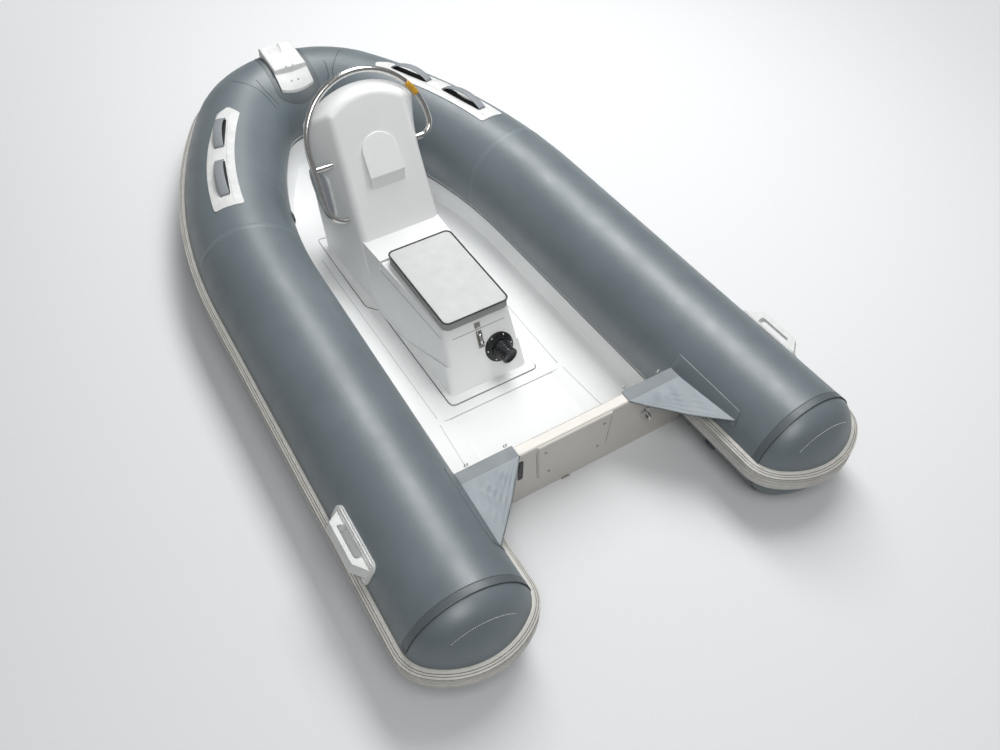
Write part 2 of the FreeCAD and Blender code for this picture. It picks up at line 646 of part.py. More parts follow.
def rounded(sketch, corners, radius):
    """A closed outline with every corner measured and rounded."""
    count = len(corners)
    points = [Vector(float(x), float(y), 0) for x, y in corners]
    lines = []
    arcs = []
    ends = []
    for index in range(count):
        before = (points[index - 1] - points[index]).normalize()
        after = (points[(index + 1) % count] - points[index]).normalize()
        half = before.getAngle(after) / 2
        reach = radius / math.tan(half)
        centre = points[index] + (radius / math.sin(half)) * (before + after).normalize()
        ends.append((points[index] + reach * before, points[index] + reach * after, centre))
    for index in range(count):
        start = ends[index][1]
        stop = ends[(index + 1) % count][0]
        lines.append(sketch.addGeometry(Part.LineSegment(start, stop)))
    for index in range(count):
        first, last, centre = ends[index]
        middle = centre + radius * (points[index] - centre).normalize()
        arcs.append(sketch.addGeometry(Part.Arc(first, middle, last)))
    for index, (x, y) in enumerate(corners):
        corner = sketch.addGeometry(Part.Point(points[index]), True)
        hold(sketch, "DistanceX", corner, 1, x)
        hold(sketch, "DistanceY", corner, 1, y)
        sketch.addConstraint(Sketcher.Constraint("PointOnObject", corner, 1, lines[index - 1]))
        sketch.addConstraint(Sketcher.Constraint("PointOnObject", corner, 1, lines[index]))
        start_first = (sketch.getPoint(arcs[index], 1) - ends[index][0]).Length < 1e-6
        arrive, leave = (1, 2) if start_first else (2, 1)
        sketch.addConstraint(Sketcher.Constraint("Tangent", lines[index - 1], 2, arcs[index], arrive))
        sketch.addConstraint(Sketcher.Constraint("Tangent", lines[index], 1, arcs[index], leave))
        at = sketch.addConstraint(Sketcher.Constraint("Radius", arcs[index], float(radius)))
        sketch.setExpression(f"Constraints[{at}]", formula_of(radius))
    return sketch


def circle(sketch, x, y, radius):
    index = sketch.addGeometry(Part.Circle(Vector(float(x), float(y), 0), Vector(0, 0, 1), float(radius)))
    hold(sketch, "DistanceX", index, 3, x)
    hold(sketch, "DistanceY", index, 3, y)
    at = sketch.addConstraint(Sketcher.Constraint("Radius", index, float(radius)))
    sketch.setExpression(f"Constraints[{at}]", formula_of(radius))
    return sketch


def pad(body, name, sketch, length, midplane=False, backwards=False):
    made = body.newObject("PartDesign::Pad", name)
    made.Profile = sketch
    made.Length = float(length)
    made.setExpression("Length", formula_of(length))
    made.Midplane = midplane
    made.Reversed = backwards
    return made


def pocket(body, name, sketch, length, midplane=False, backwards=False):
    made = body.newObject("PartDesign::Pocket", name)
    made.Profile = sketch
    made.Length = float(length)
    made.setExpression("Length", formula_of(length))
    made.Midplane = midplane
    made.Reversed = backwards
    return made


def loft(body, name, kind, low, high):
    made = body.newObject(kind, name)
    made.Profile = low
    made.Sections = [high]
    made.Ruled = True
    return made


def round_edges(body, name, radius, wanted, kind="Fillet", measure="Radius"):
    """Fillet the edges of the body's shape that "wanted" picks, or chamfer them."""
    doc.recompute()
    base = body.Tip
    names = [f"Edge{index}" for index, edge in enumerate(base.Shape.Edges, 1) if wanted(edge)]
    made = body.newObject(f"PartDesign::{kind}", name)
    made.Base = (base, names)
    setattr(made, measure, float(radius))
    made.setExpression(measure, formula_of(radius))
    doc.recompute()
    return made


def upright(edge):
    """Whether an edge is straight and nearly vertical."""
    return isinstance(edge.Curve, Part.Line) and abs(edge.tangentAt(edge.FirstParameter).z) > 0.8


# Deck liner: the cockpit's inner skin, with a raised panel under the seat and console
floor_panel = new_body("floor_panel")
rounded(new_sketch(floor_panel, "floor_panel_plan", "XY_Plane", -low_floor - liner_wall / 2), [
    (panel_aft, -panel_side),
    (panel_taper, -panel_side),
    (panel_tip, -panel_tip_half),
    (panel_tip, panel_tip_half),
    (panel_taper, panel_side),
    (panel_aft, panel_side),
], panel_round)
pad(floor_panel, "floor_panel_pad", floor_panel.Group[0], floor_step + liner_wall / 2)
doc.recompute()
board_corner = Vector(transom_thickness, -2 * axis_spread, -2 * axis_spread)
transom_board = Part.makeBox(float(liner_wall), 4 * axis_spread, 4 * axis_spread, board_corner)
raised = floor_panel.Tip.Shape.common(liner_form)
liner = liner_form.cut(liner_space.cut(transom_board)).fuse(raised).cut(tube_skin)
liner = max(liner.Solids, key=lambda body: body.Volume).removeSplitter()
solid("deck_liner", liner)


# Transom, with a shallow seat for the gusset's cloth at each end of its top
plate = new_body("transom_plate")
rise = (keel_depth - chine_depth) / (breadth(0, -chine_inset) - keel_flat)
chine_side = axis_spread
chine_height = -keel_depth + (chine_side - keel_flat) * rise
cloth_seat = transom_top - gusset_sheet - skin_gap
section = new_sketch(plate, "transom_section", "YZ_Plane")
outline(section, [
    (-keel_flat, -keel_depth),
    (keel_flat, -keel_depth),
    (chine_side, chine_height),
    (chine_side, transom_top),
    (-chine_side, transom_top),
    (-chine_side, chine_height),
])
pad(plate, "transom_pad", section, transom_thickness)
seats = new_sketch(plate, "gusset_seats", "YZ_Plane")
seat_start = gusset_inner - skin_gap
for side in (1, -1):
    outline(seats, [
        (side * seat_start, cloth_seat),
        (side * 2 * chine_side, cloth_seat),
        (side * 2 * chine_side, 2 * transom_top),
        (side * seat_start, 2 * transom_top),
    ])
pocket(plate, "gusset_seat_cut", seats, 3 * transom_thickness, midplane=True)


def on_transom_top(edge):
    return edge.BoundBox.ZMin > transom_top - 1 and edge.BoundBox.YLength > gusset_inner


round_edges(plate, "transom_round", transom_edge, on_transom_top)
tube_tool = doc.addObject("Part::Feature", "tube_tool")
tube_tool.Shape = tube_skin
transom = doc.addObject("Part::Cut", "transom")
transom.Base = plate
transom.Tool = tube_tool
keep(transom, "transom")

# Motor pad on the transom's aft face, bevelled all round
motor_pad = new_body("motor_pad")
section = new_sketch(motor_pad, "motor_pad_section", "YZ_Plane")
outline(section, [
    (-pad_foot_half, -pad_foot),
    (pad_foot_half, -pad_foot),
    (pad_top_half, pad_top),
    (-pad_top_half, pad_top),
])
pad(motor_pad, "motor_pad_plate", section, pad_thickness, backwards=True)


def on_pad_face(edge):
    return edge.BoundBox.XMax < -pad_thickness / 2


round_edges(motor_pad, "motor_pad_bevel", pad_bevel, on_pad_face, "Chamfer", "Size")
keep(motor_pad, "motor_pad")

# Drain fitting: flange and screw cap
drain = new_body("drain_fitting")
for name, radius, height in (
    ("drain_flange", drain_radius, drain_flange),
    ("drain_cap", drain_cap_radius, drain_cap_height),
):
    section = new_sketch(drain, f"{name}_section", "YZ_Plane")
    pad(drain, f"{name}_pad", circle(section, drain_side, -drain_depth, radius), height, backwards=True)
keep(drain, "drain_fitting")


# Gussets: a web from the transom's top to a tip on the tube, with a glued tab
def flat_plate(points, thickness):
    face = Part.Face(Part.makePolygon(points + [points[0]]))
    return face.extrude(Vector(0, 0, thickness))


web_height = cloth_seat + skin_gap
tip_side = axis_spread - tube_radius / 2
on_transom = [
    Vector(0, gusset_inner, web_height),
    Vector(gusset_front, gusset_inner, web_height),
    Vector(gusset_front, tip_side, web_height),
    Vector(0, tip_side, web_height),
]
aft_web = [
    Vector(0, gusset_inner, web_height),
    Vector(0, tip_side, web_height),
    Vector(-gusset_reach, tip_side, web_height + gusset_rise),
]
web = flat_plate(on_transom, gusset_sheet).fuse(flat_plate(aft_web, gusset_sheet)).cut(tube_skin)


def ring_section(base, out, inner, outer, low_angle, high_angle):
    """Section of a sheet on the tube, between two angles above the outboard level."""

    def at(reach, angle):
        return base + reach * (math.cos(angle) * out + math.sin(angle) * UP)

    middle = (low_angle + high_angle) / 2
    edges = [
        Part.Arc(at(inner, low_angle), at(inner, middle), at(inner, high_angle)),
        Part.LineSegment(at(inner, high_angle), at(outer, high_angle)),
        Part.Arc(at(outer, high_angle), at(outer, middle), at(outer, low_angle)),
        Part.LineSegment(at(outer, low_angle), at(inner, low_angle)),
    ]
    return Part.Face(Part.Wire([edge.toShape() for edge in edges]))


def straight_sheet(thickness, low_angle, high_angle, start, stop):
    """A sheet on the port tube's straight side, between two places."""
    base = straight_point(start)
    section = ring_section(base, straight_out, sheet_base, sheet_base + thickness, low_angle, high_angle)
    return section.extrude(straight_point(stop) - base)


def curved_sheet(thickness, low_angle, high_angle, start, stop):
    """A sheet on the curved port tube, between two headings."""
    out = Vector(math.sin(start), math.cos(start), 0)
    section = ring_section(turn_point(start), out, sheet_base, sheet_base + thickness, low_angle, high_angle)
    return swing(section, shoulder, stop - start)


to_bow = Vector(1, 0, 0)
to_port = Vector(0, 1, 0)
straight_out = Vector(math.sin(taper), math.cos(taper), 0)
sheet_base = tube_radius + skin_gap
tab_high = math.pi - math.asin(tab_top / tube_radius)
tab_low = math.pi - math.asin((web_height + gusset_sheet / 4) / tube_radius)
tab = straight_sheet(gusset_sheet, tab_high, tab_low, -gusset_reach, gusset_front)
pair("gusset", web.fuse(tab).removeSplitter())

# White pads on the bow shoulders, each with two arched grab straps
pad_start = math.radians(pad_aft_turn)
pad_stop = math.radians(pad_front_turn)


def pad_point(share, angle):
    """A point of the pad's plan, "share" of the way to its front end."""
    turn = pad_start + share * (pad_stop - pad_start)
    return turn_point(turn, tube_radius * math.cos(math.radians(angle)))


outer_end = pad_point(pad_body, pad_outer_front)
inner_end = pad_point(pad_body, pad_inner_front)
pad_edges = [
    Part.Arc(pad_point(0, pad_outer_aft), pad_point(0.5, pad_outer_mid), outer_end),
    Part.LineSegment(outer_end, pad_point(1, pad_nose)),
    Part.LineSegment(pad_point(1, pad_nose), inner_end),
    Part.Arc(inner_end, pad_point(0.5, pad_inner_mid), pad_point(0, pad_inner_aft)),
    Part.LineSegment(pad_point(0, pad_inner_aft), pad_point(0, pad_outer_aft)),
]
pad_plan = Part.Face(Part.Wire([edge.toShape() for edge in pad_edges])).extrude(2 * tube_radius * UP)
pad_plan = pad_plan.makeFillet(pad_round, [edge for edge in pad_plan.Edges if upright(edge)])
pad_spare = (pad_stop - pad_start) / 10
ring_low = math.radians(pad_outer_aft - pad_round)
ring_high = math.radians(pad_inner_front + pad_round)
pad_ring = curved_sheet(pad_sheet, ring_low, ring_high, pad_start - pad_spare, pad_stop + pad_spare)
pair("handle_pad", pad_ring.common(pad_plan))
strap_seat = sheet_base + pad_sheet + skin_gap
pad_clear = collar(strap_seat)


def grab_strap(share):
    """One strap arched over the pad, "share" of the way to its front end."""
    lean = math.radians(strap_lean)
    turn = pad_start + share * (pad_stop - pad_start)
    out = Vector(math.sin(turn), math.cos(turn), 0)
    along = Vector(math.cos(turn), -math.sin(turn), 0)
    normal = math.cos(lean) * out + math.sin(lean) * UP
    across = normal.cross(along)
    half = strap_share / 2 * (pad_stop - pad_start) * shoulder_radius
    base = turn_point(turn) + strap_seat * normal

    def at(reach, rise):
        return base + reach * along + rise * normal - strap_width / 2 * across

    foot = half - 2 * strap_sheet
    edges = [
        Part.Arc(at(-half, 0), at(0, strap_rise), at(half, 0)),
        Part.LineSegment(at(half, 0), at(foot, 0)),
        Part.Arc(at(foot, 0), at(0, strap_rise - strap_sheet), at(-foot, 0)),
        Part.LineSegment(at(-foot, 0), at(-half, 0)),
    ]
    strap = Part.Face(Part.Wire([edge.toShape() for edge in edges])).extrude(strap_width * across)
    return strap.cut(pad_clear)


pair("grab_straps", Part.makeCompound([grab_strap(strap_one), grab_strap(strap_two)]))

# Carry handles on the side tubes: a glued flange and a grip that stands off it
lean = math.radians(carry_lean)
half_angle = carry_width / 2 / tube_radius
glued = straight_sheet(carry_sheet, lean - half_angle, lean + half_angle, -carry_aft, carry_front)
normal = math.cos(lean) * straight_out + math.sin(lean) * UP
across = normal.cross(tail_direction())
middle = straight_point((carry_front - carry_aft) / 2)
reach = (carry_front + carry_aft) / 2
high = tube_radius + carry_rise


def along_normal(edge):
    return isinstance(edge.Curve, Part.Line) and abs(edge.tangentAt(edge.FirstParameter).dot(normal)) > 0.9


def along_across(edge):
    return isinstance(edge.Curve, Part.Line) and abs(edge.tangentAt(edge.FirstParameter).dot(across)) > 0.9


def grip_profile(points):
    """Side view of the grip, extruded across it."""
    corners = [
        middle + along * tail_direction() + rise * normal - carry_grip / 2 * across
        for along, rise in points
    ]
    return Part.Face(Part.makePolygon(corners + [corners[0]])).extrude(carry_grip * across)


grip = grip_profile([
    (-reach + carry_end, tube_radius / 2),
    (-reach + carry_end, sheet_base + carry_sheet),
    (-carry_gap / 2 - carry_bar, high),
    (carry_gap / 2 + carry_bar, high),
    (reach - carry_end, sheet_base + carry_sheet),
    (reach - carry_end, tube_radius / 2),
])
outer_edges = [
    edge for edge in grip.Edges if along_across(edge) and (edge.CenterOfMass - middle).dot(normal) > high - 1
]
grip = grip.makeFillet(carry_bar, outer_edges)
finger_gap = grip_profile([
    (-carry_gap / 2, sheet_base + carry_sheet),
    (-carry_gap / 2, high - carry_bar),
    (carry_gap / 2, high - carry_bar),
    (carry_gap / 2, sheet_base + carry_sheet),
])
finger_gap = finger_gap.makeFillet(carry_bar / 2, [edge for edge in finger_gap.Edges if along_across(edge)])
glued = glued.makeFillet(carry_corner, [edge for edge in glued.Edges if along_normal(edge)])
pair("carry_handle", glued.fuse(grip.cut(finger_gap)).cut(tube_skin).removeSplitter())

# Bow chock: a saddle on the bow tube with a rope notch, on a wider patch
patch_outer = sheet_base + patch_sheet
chock_inner = patch_outer + skin_gap


def bow_box(margin):
    """A block over the bow tube, "margin" wider than the chock all round."""
    corner = Vector(bow_axis - chock_back - margin, -chock_half - margin, 0)
    long = chock_front + chock_back + 2 * margin
    return Part.makeBox(long, 2 * (chock_half + margin), 2 * tube_radius, corner)


patch_box = bow_box(patch_margin)
patch_box = patch_box.makeFillet(patch_margin, [edge for edge in patch_box.Edges if upright(edge)])
solid("bow_patch", collar(patch_outer).cut(tube_skin).common(patch_box))
saddle = collar(chock_inner + chock_sheet).common(bow_box(0.0))
block_back = chock_back * block_reach
block_low = chock_top - tube_radius / 2
block_profile = Part.makePolygon([
    Vector(bow_axis + chock_front, -chock_half, block_low),
    Vector(bow_axis + chock_front, -chock_half, chock_top),
    Vector(bow_axis - block_back, -chock_half, chock_top - chock_slope),
    Vector(bow_axis - block_back - chock_sheet, -chock_half, block_low),
    Vector(bow_axis + chock_front, -chock_half, block_low),
])
block = Part.Face(block_profile).extrude(2 * chock_half * Vector(0, 1, 0))
block_tops = [edge for edge in block.Edges if edge.BoundBox.ZMin > chock_top - chock_slope - 1]
block = block.makeFillet(chock_round, block_tops)
notch_start = Vector(bow_axis - chock_front / 2, 0, chock_top + chock_notch / 2)
notch = Part.makeCylinder(chock_notch, 3 * chock_front, notch_start, Vector(1, 0, 0))
dish_middle = Vector(bow_axis - chock_front / 2, 0, chock_top + dish_rise * chock_notch)
dish = Part.makeSphere(3 * chock_notch, dish_middle)
chock = saddle.fuse(block.cut(notch).cut(dish)).cut(collar(chock_inner))
solid("bow_chock", chock.removeSplitter())

# Seat and console mouldings share the plane where the console's aft face meets the seat box
join_base = console_face - console_slope * floor_depth
join_top = console_face + console_slope * seat_top
beyond = 4 * axis_spread


def slab(start, stop, low, high):
    """A block as wide as the boat, to cut other pieces with."""
    return Part.makeBox(float(stop - start), 2 * beyond, float(high - low), Vector(start, -beyond, low))


def plan(body, name, height, aft, aft_half, front, front_half, radius):
    """A four-sided plan with rounded corners."""
    corners = [(aft, -aft_half), (front, -front_half), (front, front_half), (aft, aft_half)]
    return rounded(new_sketch(body, name, "XY_Plane", height), corners, radius)


def seat_form(name, inset, spread):
    """The seat box's outer form, or the form "inset" inside it, or "spread" wider."""
    body = new_body(name)
    low = plan(
        body, f"{name}_base", -floor_depth - inset,
        seat_base_aft + inset, seat_base_half - inset + spread,
        join_base + seat_splay, seat_base_half + seat_splay - inset + spread, seat_round,
    )
    top = plan(
        body, f"{name}_top", seat_top - inset,
        seat_top_aft + inset, seat_top_half - inset + spread,
        join_top + seat_splay, seat_top_half + seat_splay - inset + spread, seat_round,
    )
    loft(body, f"{name}_body", "PartDesign::AdditiveLoft", low, top)
    doc.recompute()
    return body.Tip.Shape


# Seat box: a tapered moulding with a ridge along each side, hollow and open on top aft of its step
seat_outer = seat_form("seat_outer", 0.0, 0.0)
seat_inner = seat_form("seat_inner", mould_wall, 0.0)
ridge_profile = Part.makePolygon([
    Vector(flange_aft, -beyond, -floor_depth),
    Vector(join_base, -beyond, -floor_depth),
    Vector(join_base, -beyond, flange_sheet - floor_depth),
    Vector(ridge_front, -beyond, ridge_foot - floor_depth),
    Vector(seat_base_aft, -beyond, ridge_head - floor_depth),
    Vector(flange_aft, -beyond, ridge_head - floor_depth),
    Vector(flange_aft, -beyond, -floor_depth),
])
below_ridge = Part.Face(ridge_profile).extrude(2 * beyond * Vector(0, 1, 0))
ridged = seat_form("seat_ridged", 0.0, ridge_step).common(below_ridge)
locker = seat_inner.common(slab(0, step_aft, -beyond, beyond))
above_rim = slab(0, step_aft, -lid_line - skin_gap, beyond)
seat_shape = seat_outer.fuse(ridged).cut(locker).cut(above_rim)

# Seat lid: a shallow tray upside down, whose skirt continues the box's sides
lid_front = cushion_front + soft_gap
lid_outer = seat_outer.common(slab(0, lid_front, -lid_line, beyond))
lid_inner = seat_inner.common(slab(0, lid_front - mould_wall, -beyond, beyond))
solid("seat_board", lid_outer.cut(lid_inner))

# Console: a leaning tower that widens forward to its shoulders, under an arched head
def tower_plan(name, height, aft, aft_half, front, front_half):
    corners = [(aft, -aft_half), (front, -front_half), (front, front_half), (aft, aft_half)]
    return outline(new_sketch(tower, name, "XY_Plane", height), corners)


tower = new_body("console_tower")
head_height = console_top + tube_radius / 5
head_aft = console_face + console_slope * head_height
low_plan = tower_plan(
    "tower_base", -floor_depth, join_base, console_aft_half, console_front, console_front_half,
)
high_plan = tower_plan(
    "tower_head", head_height, head_aft, console_head_aft, console_head_front, console_head_half,
)
loft(tower, "tower_body", "PartDesign::AdditiveLoft", low_plan, high_plan)
doc.recompute()
arch_centre = console_top - arch_radius
arch_foot = -floor_depth - mould_wall
arch_corners = [
    Vector(0, -arch_radius, arch_centre),
    Vector(0, -arch_radius, arch_foot),
    Vector(0, arch_radius, arch_foot),
    Vector(0, arch_radius, arch_centre),
]
arch = Part.Arc(arch_corners[3], Vector(0, 0, console_top), arch_corners[0])
arch_wire = Part.Wire(Part.makePolygon(arch_corners).Edges + [arch.toShape()])
console_form = tower.Tip.Shape.common(Part.Face(arch_wire).extrude(Vector(beyond, 0, 0)))
console_edges = [edge for edge in console_form.Edges if edge.BoundBox.ZMax > seat_top]
console_solid = console_form.makeFillet(console_round, console_edges)

# Dash pod: an arched wedge that leaves the aft face at its top and stands off at its foot
face_normal = Vector(-1, 0, console_slope).normalize()


def face_point(side, height, lift=0.0):
    """A point off the console's aft face, "lift" outwards."""
    return Vector(console_face + console_slope * height, side, height) + lift * face_normal


wedge = Part.makePolygon([
    face_point(-pod_half, pod_foot, -pod_root),
    face_point(-pod_half, pod_foot, 0),
    face_point(-pod_half, pod_crease, pod_lift),
    face_point(-pod_half, pod_head, pod_round),
    face_point(-pod_half, pod_head, -pod_root),
    face_point(-pod_half, pod_foot, -pod_root),
])
wedge_block = Part.Face(wedge).extrude(2 * pod_half * Vector(0, 1, 0))
pod_spring = pod_head - pod_half * pod_crown
pod_arc = Part.Arc(
    face_point(pod_half, pod_spring, -pod_root),
    face_point(0, pod_head, -pod_root),
    face_point(-pod_half, pod_spring, -pod_root),
)
pod_sides = Part.makePolygon([
    face_point(-pod_half, pod_spring, -pod_root),
    face_point(-pod_half, pod_foot, -pod_root),
    face_point(pod_half, pod_foot, -pod_root),
    face_point(pod_half, pod_spring, -pod_root),
])
pod_face = Part.Face(Part.Wire(pod_sides.Edges + [pod_arc.toShape()]))
pod = wedge_block.common(pod_face.extrude((pod_root + 2 * pod_lift) * face_normal))


def stands_off(edge):
    """Whether an edge of the pod is clear of the console's aft face."""
    return (edge.CenterOfMass - face_point(0, 0)).dot(face_normal) > pod_round / 2


pod = pod.makeFillet(pod_round, [edge for edge in pod.Edges if stands_off(edge)])

# Base flange of the mouldings, widened at the console
flange = new_body("base_flange")
flange_plan = new_sketch(flange, "flange_plan", "XY_Plane", -floor_depth)
outline(flange_plan, [
    (flange_aft, -flange_half),
    (flange_jog - flange_round, -flange_half),
    (flange_jog + flange_round, -flange_wide),
    (flange_front, -flange_wide),
    (flange_front, flange_wide),
    (flange_jog + flange_round, flange_wide),
    (flange_jog - flange_round, flange_half),
    (flange_aft, flange_half),
])
pad(flange, "flange_pad", flange_plan, flange_sheet)
round_edges(flange, "flange_corners", flange_round, upright)
seat_flange = flange.Tip.Shape.common(slab(0, join_base, -beyond, beyond)).cut(locker)
console_flange = flange.Tip.Shape.common(slab(join_base, beyond, -beyond, beyond))

# Where the floor rises round the console's foot, the moulding stands just off it
rising_floor = liner.common(slab(0, beyond, -floor_depth, beyond))
rising_floor.translate(skin_gap * UP)
console = console_solid.fuse(console_flange).fuse(pod).cut(rising_floor).cut(liner).cut(hull)
console = max(console.Solids, key=lambda body: body.Volume).removeSplitter()
solid("console", console)
seat_box = seat_shape.fuse(seat_flange).cut(console)
solid("seat_box", max(seat_box.Solids, key=lambda body: body.Volume).removeSplitter())

# Seat cushion on the lid, its upper edge sewn round
cushion = new_body("seat_cushion")
cushion_plan = new_sketch(cushion, "cushion_plan", "XY_Plane", seat_top + soft_gap)
rounded(cushion_plan, [
    (cushion_aft, -cushion_half),
    (cushion_front, -cushion_half),
    (cushion_front, cushion_half),
    (cushion_aft, cushion_half),
], cushion_round)
pad(cushion, "cushion_pad", cushion_plan, cushion_top - seat_top - soft_gap)
round_edges(cushion, "cushion_seam", cushion_edge, lambda edge: edge.BoundBox.ZMin > cushion_top - 1)
keep(cushion, "seat_cushion")

# Seat hinges: fixed leaves with the pin on the box's step, moving leaves on the lid's front
hinge_x = cushion_front + hinge_ahead
hinge_z = seat_top + hinge_above
knuckle_long = hinge_width / 3


def barrel(start, length, radius):
    return Part.makeCylinder(radius, length, Vector(hinge_x, start, hinge_z), Vector(0, 1, 0))


def fixed_leaf(side):
    """Two knuckles, the pin between them and the leaf on the step."""
    start = side - hinge_width / 2
    leaf_start = hinge_x + hinge_barrel
    leaf = Part.makeBox(hinge_leaf_long, hinge_width, hinge_leaf_sheet, Vector(leaf_start, start, seat_top))
    pieces = [leaf, barrel(start, hinge_width, hinge_pin)]
    for knuckle_start in (start, start + 2 * knuckle_long):
        lug_corner = Vector(hinge_x, knuckle_start, seat_top)
        lug = Part.makeBox(hinge_barrel + hinge_leaf_sheet, knuckle_long, hinge_leaf_sheet, lug_corner)
        pieces += [barrel(knuckle_start, knuckle_long, hinge_barrel), lug]
    return lined_up(pieces)


def moving_leaf(side):
    """The middle knuckle, and the plate that it carries on the lid's front."""
    start = side - knuckle_long / 2 + hinge_fit
    width = knuckle_long - 2 * hinge_fit
    bore = hinge_pin + hinge_fit
    plate_low = seat_top - hinge_leaf_long / 2
    plate_top = hinge_z + hinge_leaf_sheet / 2
    plate = Part.makeBox(hinge_leaf_sheet, width, plate_top - plate_low, Vector(lid_front, start, plate_low))
    arm_corner = Vector(lid_front, start, plate_top - hinge_leaf_sheet)
    arm = Part.makeBox(hinge_x - lid_front, width, hinge_leaf_sheet, arm_corner)
    knuckle = barrel(start, width, hinge_barrel)
    return lined_up([knuckle, plate, arm]).cut(barrel(start, width, bore))


solid("hinge_fixed", Part.makeCompound([fixed_leaf(-hinge_side), fixed_leaf(hinge_side)]))
solid("hinge_leaves", Part.makeCompound([moving_leaf(-hinge_side), moving_leaf(hinge_side)]))

# Toggle latch and cable boot, on the seat box's leaning aft face
seat_lean = (seat_top_aft - seat_base_aft) / (seat_top + floor_depth)
aft_up = Vector(seat_lean, 0, 1).normalize()
aft_normal = Vector(-1, 0, seat_lean).normalize()


def on_aft_face(shape, side, height):
    """Stand a shape, drawn about the origin with +X outwards, at one height of the aft face."""
    foot = Vector(seat_top_aft - seat_lean * (seat_top - height), side, height)
    shape.Placement = Placement(foot, Rotation(aft_normal, Vector(0, -1, 0), aft_up, "XYZ"))
    return shape


def latch_plate(long):
    return Part.makeBox(latch_sheet, latch_width, long, Vector(0, -latch_width / 2, -long / 2))


lever_corner = Vector(latch_sheet, -lever_wide / 2, -lever_low)
lever = Part.makeBox(2 * latch_sheet, lever_wide, lever_long, lever_corner)
pivot_end = Vector(2 * latch_sheet, -lever_wide / 2, lever_long - lever_low)
pivot = Part.makeCylinder(latch_sheet, lever_wide, pivot_end, to_port)
latch_base = lined_up([latch_plate(latch_long), lever, pivot])
solid("latch_base", on_aft_face(latch_base, latch_side, -lid_line - latch_gap - latch_long / 2))
hook = Part.makeCylinder(latch_sheet, lever_wide, Vector(latch_sheet, -lever_wide / 2, 0), to_port)
latch_catch = lined_up([latch_plate(catch_long), hook])
solid("latch_catch", on_aft_face(latch_catch, latch_side, -lid_line + latch_gap + catch_long / 2))

# Cable boot: a round flange on the aft face, its neck level and open aft
boot_flange_plate = Part.makeCylinder(boot_flange, boot_sheet, Vector(0, 0, 0), to_bow)
boot_flange_plate = on_aft_face(boot_flange_plate, -boot_side, -boot_depth)
boot_start = Vector(seat_top_aft - seat_lean * (seat_top + boot_depth), -boot_side, -boot_depth)
boot_profile = Part.makePolygon([
    Vector(-boot_flange, 0, 0),
    Vector(-boot_flange, 0, boot_foot),
    Vector(boot_shoulder, 0, boot_waist),
    Vector(boot_shoulder + boot_sheet, 0, boot_neck),
    Vector(boot_length, 0, boot_neck),
    Vector(boot_length, 0, boot_bore),
    Vector(boot_shoulder, 0, boot_bore),
    Vector(boot_shoulder, 0, 0),
    Vector(-boot_flange, 0, 0),
])
boot_neck_shape = Part.Face(boot_profile).revolve(Vector(0, 0, 0), to_bow, 360)
boot_neck_shape.Placement = Placement(boot_start, Rotation(UP, 180 + boot_turn))
behind_face = Part.makeBox(beyond, beyond, beyond, Vector(-beyond, -beyond / 2, -beyond / 2))
behind_face = on_aft_face(behind_face, 0, seat_top)
solid("cable_boot", boot_flange_plate.fuse(boot_neck_shape).cut(behind_face).removeSplitter())


# Side panel: an oval rim and its clear cover on the console's port side
def panel_disc(inset):
    """Oval bar across the console's side, leaning forward, "inset" inside the panel's outline."""
    long = panel_half_long - inset
    wide = panel_half_wide - inset
    flat = long - wide
    points = [Vector(-wide, 0, -flat), Vector(0, 0, -long), Vector(wide, 0, -flat),
              Vector(wide, 0, flat), Vector(0, 0, long), Vector(-wide, 0, flat)]
    edges = [
        Part.Arc(points[0], points[1], points[2]),
        Part.LineSegment(points[2], points[3]),
        Part.Arc(points[3], points[4], points[5]),
        Part.LineSegment(points[5], points[0]),
    ]
    face = Part.Face(Part.Wire([edge.toShape() for edge in edges]))
    bar = face.extrude(2 * console_front_half * to_port)
    bar.Placement = Placement(Vector(panel_middle, 0, panel_height), Rotation(to_port, float(panel_lean)))
    return bar


def moved_out(shape, side):
    moved = shape.copy()
    moved.translate(Vector(0, side, 0))
    return moved


panel_body = panel_disc(0.0).common(moved_out(console_solid, panel_stand)).cut(console_solid)
solid("side_panel", panel_body.cut(panel_disc(panel_bezel)))
lens = panel_disc(panel_bezel + skin_gap).common(moved_out(console_solid, panel_stand))
solid("panel_cover", lens.cut(moved_out(console_solid, panel_stand - panel_lens)))

# Rail hoop beside the console, leaning with its aft face
rail_up = Vector(console_slope, 0, 1).normalize()
rail_inside = console_head_aft / 2


def rail_point(side, along):
    return Vector(rail_plane, side, 0) + along * rail_up


def bend(corner, before, after, radius):
    """Arc that rounds a square corner, with its two ends."""
    back = (before - corner).normalize()
    ahead = (after - corner).normalize()
    inside = corner + radius * (back + ahead)
    return corner + radius * back, inside + radius * (corner - inside).normalize(), corner + radius * ahead


foot_inner = rail_point(rail_inside, rail_foot)
arch_port = rail_point(rail_half, rail_centre)
arch_head = rail_point(0, rail_centre + rail_half)
arch_starboard = rail_point(-rail_half, rail_centre)
arm_inner = rail_point(-rail_inside, rail_arm)
foot_corner = rail_point(rail_half, rail_foot)
arm_corner = rail_point(-rail_half, rail_arm)
foot_first, foot_mid, foot_last = bend(foot_corner, foot_inner, arch_port, rail_foot_bend)
arm_first, arm_mid, arm_last = bend(arm_corner, arch_starboard, arm_inner, rail_arm_bend)
rail_path = Part.Wire([
    Part.LineSegment(foot_inner, foot_first).toShape(),
    Part.Arc(foot_first, foot_mid, foot_last).toShape(),
    Part.LineSegment(foot_last, arch_port).toShape(),
    Part.Arc(arch_port, arch_head, arch_starboard).toShape(),
    Part.LineSegment(arch_starboard, arm_first).toShape(),
    Part.Arc(arm_first, arm_mid, arm_last).toShape(),
    Part.LineSegment(arm_last, arm_inner).toShape(),
])
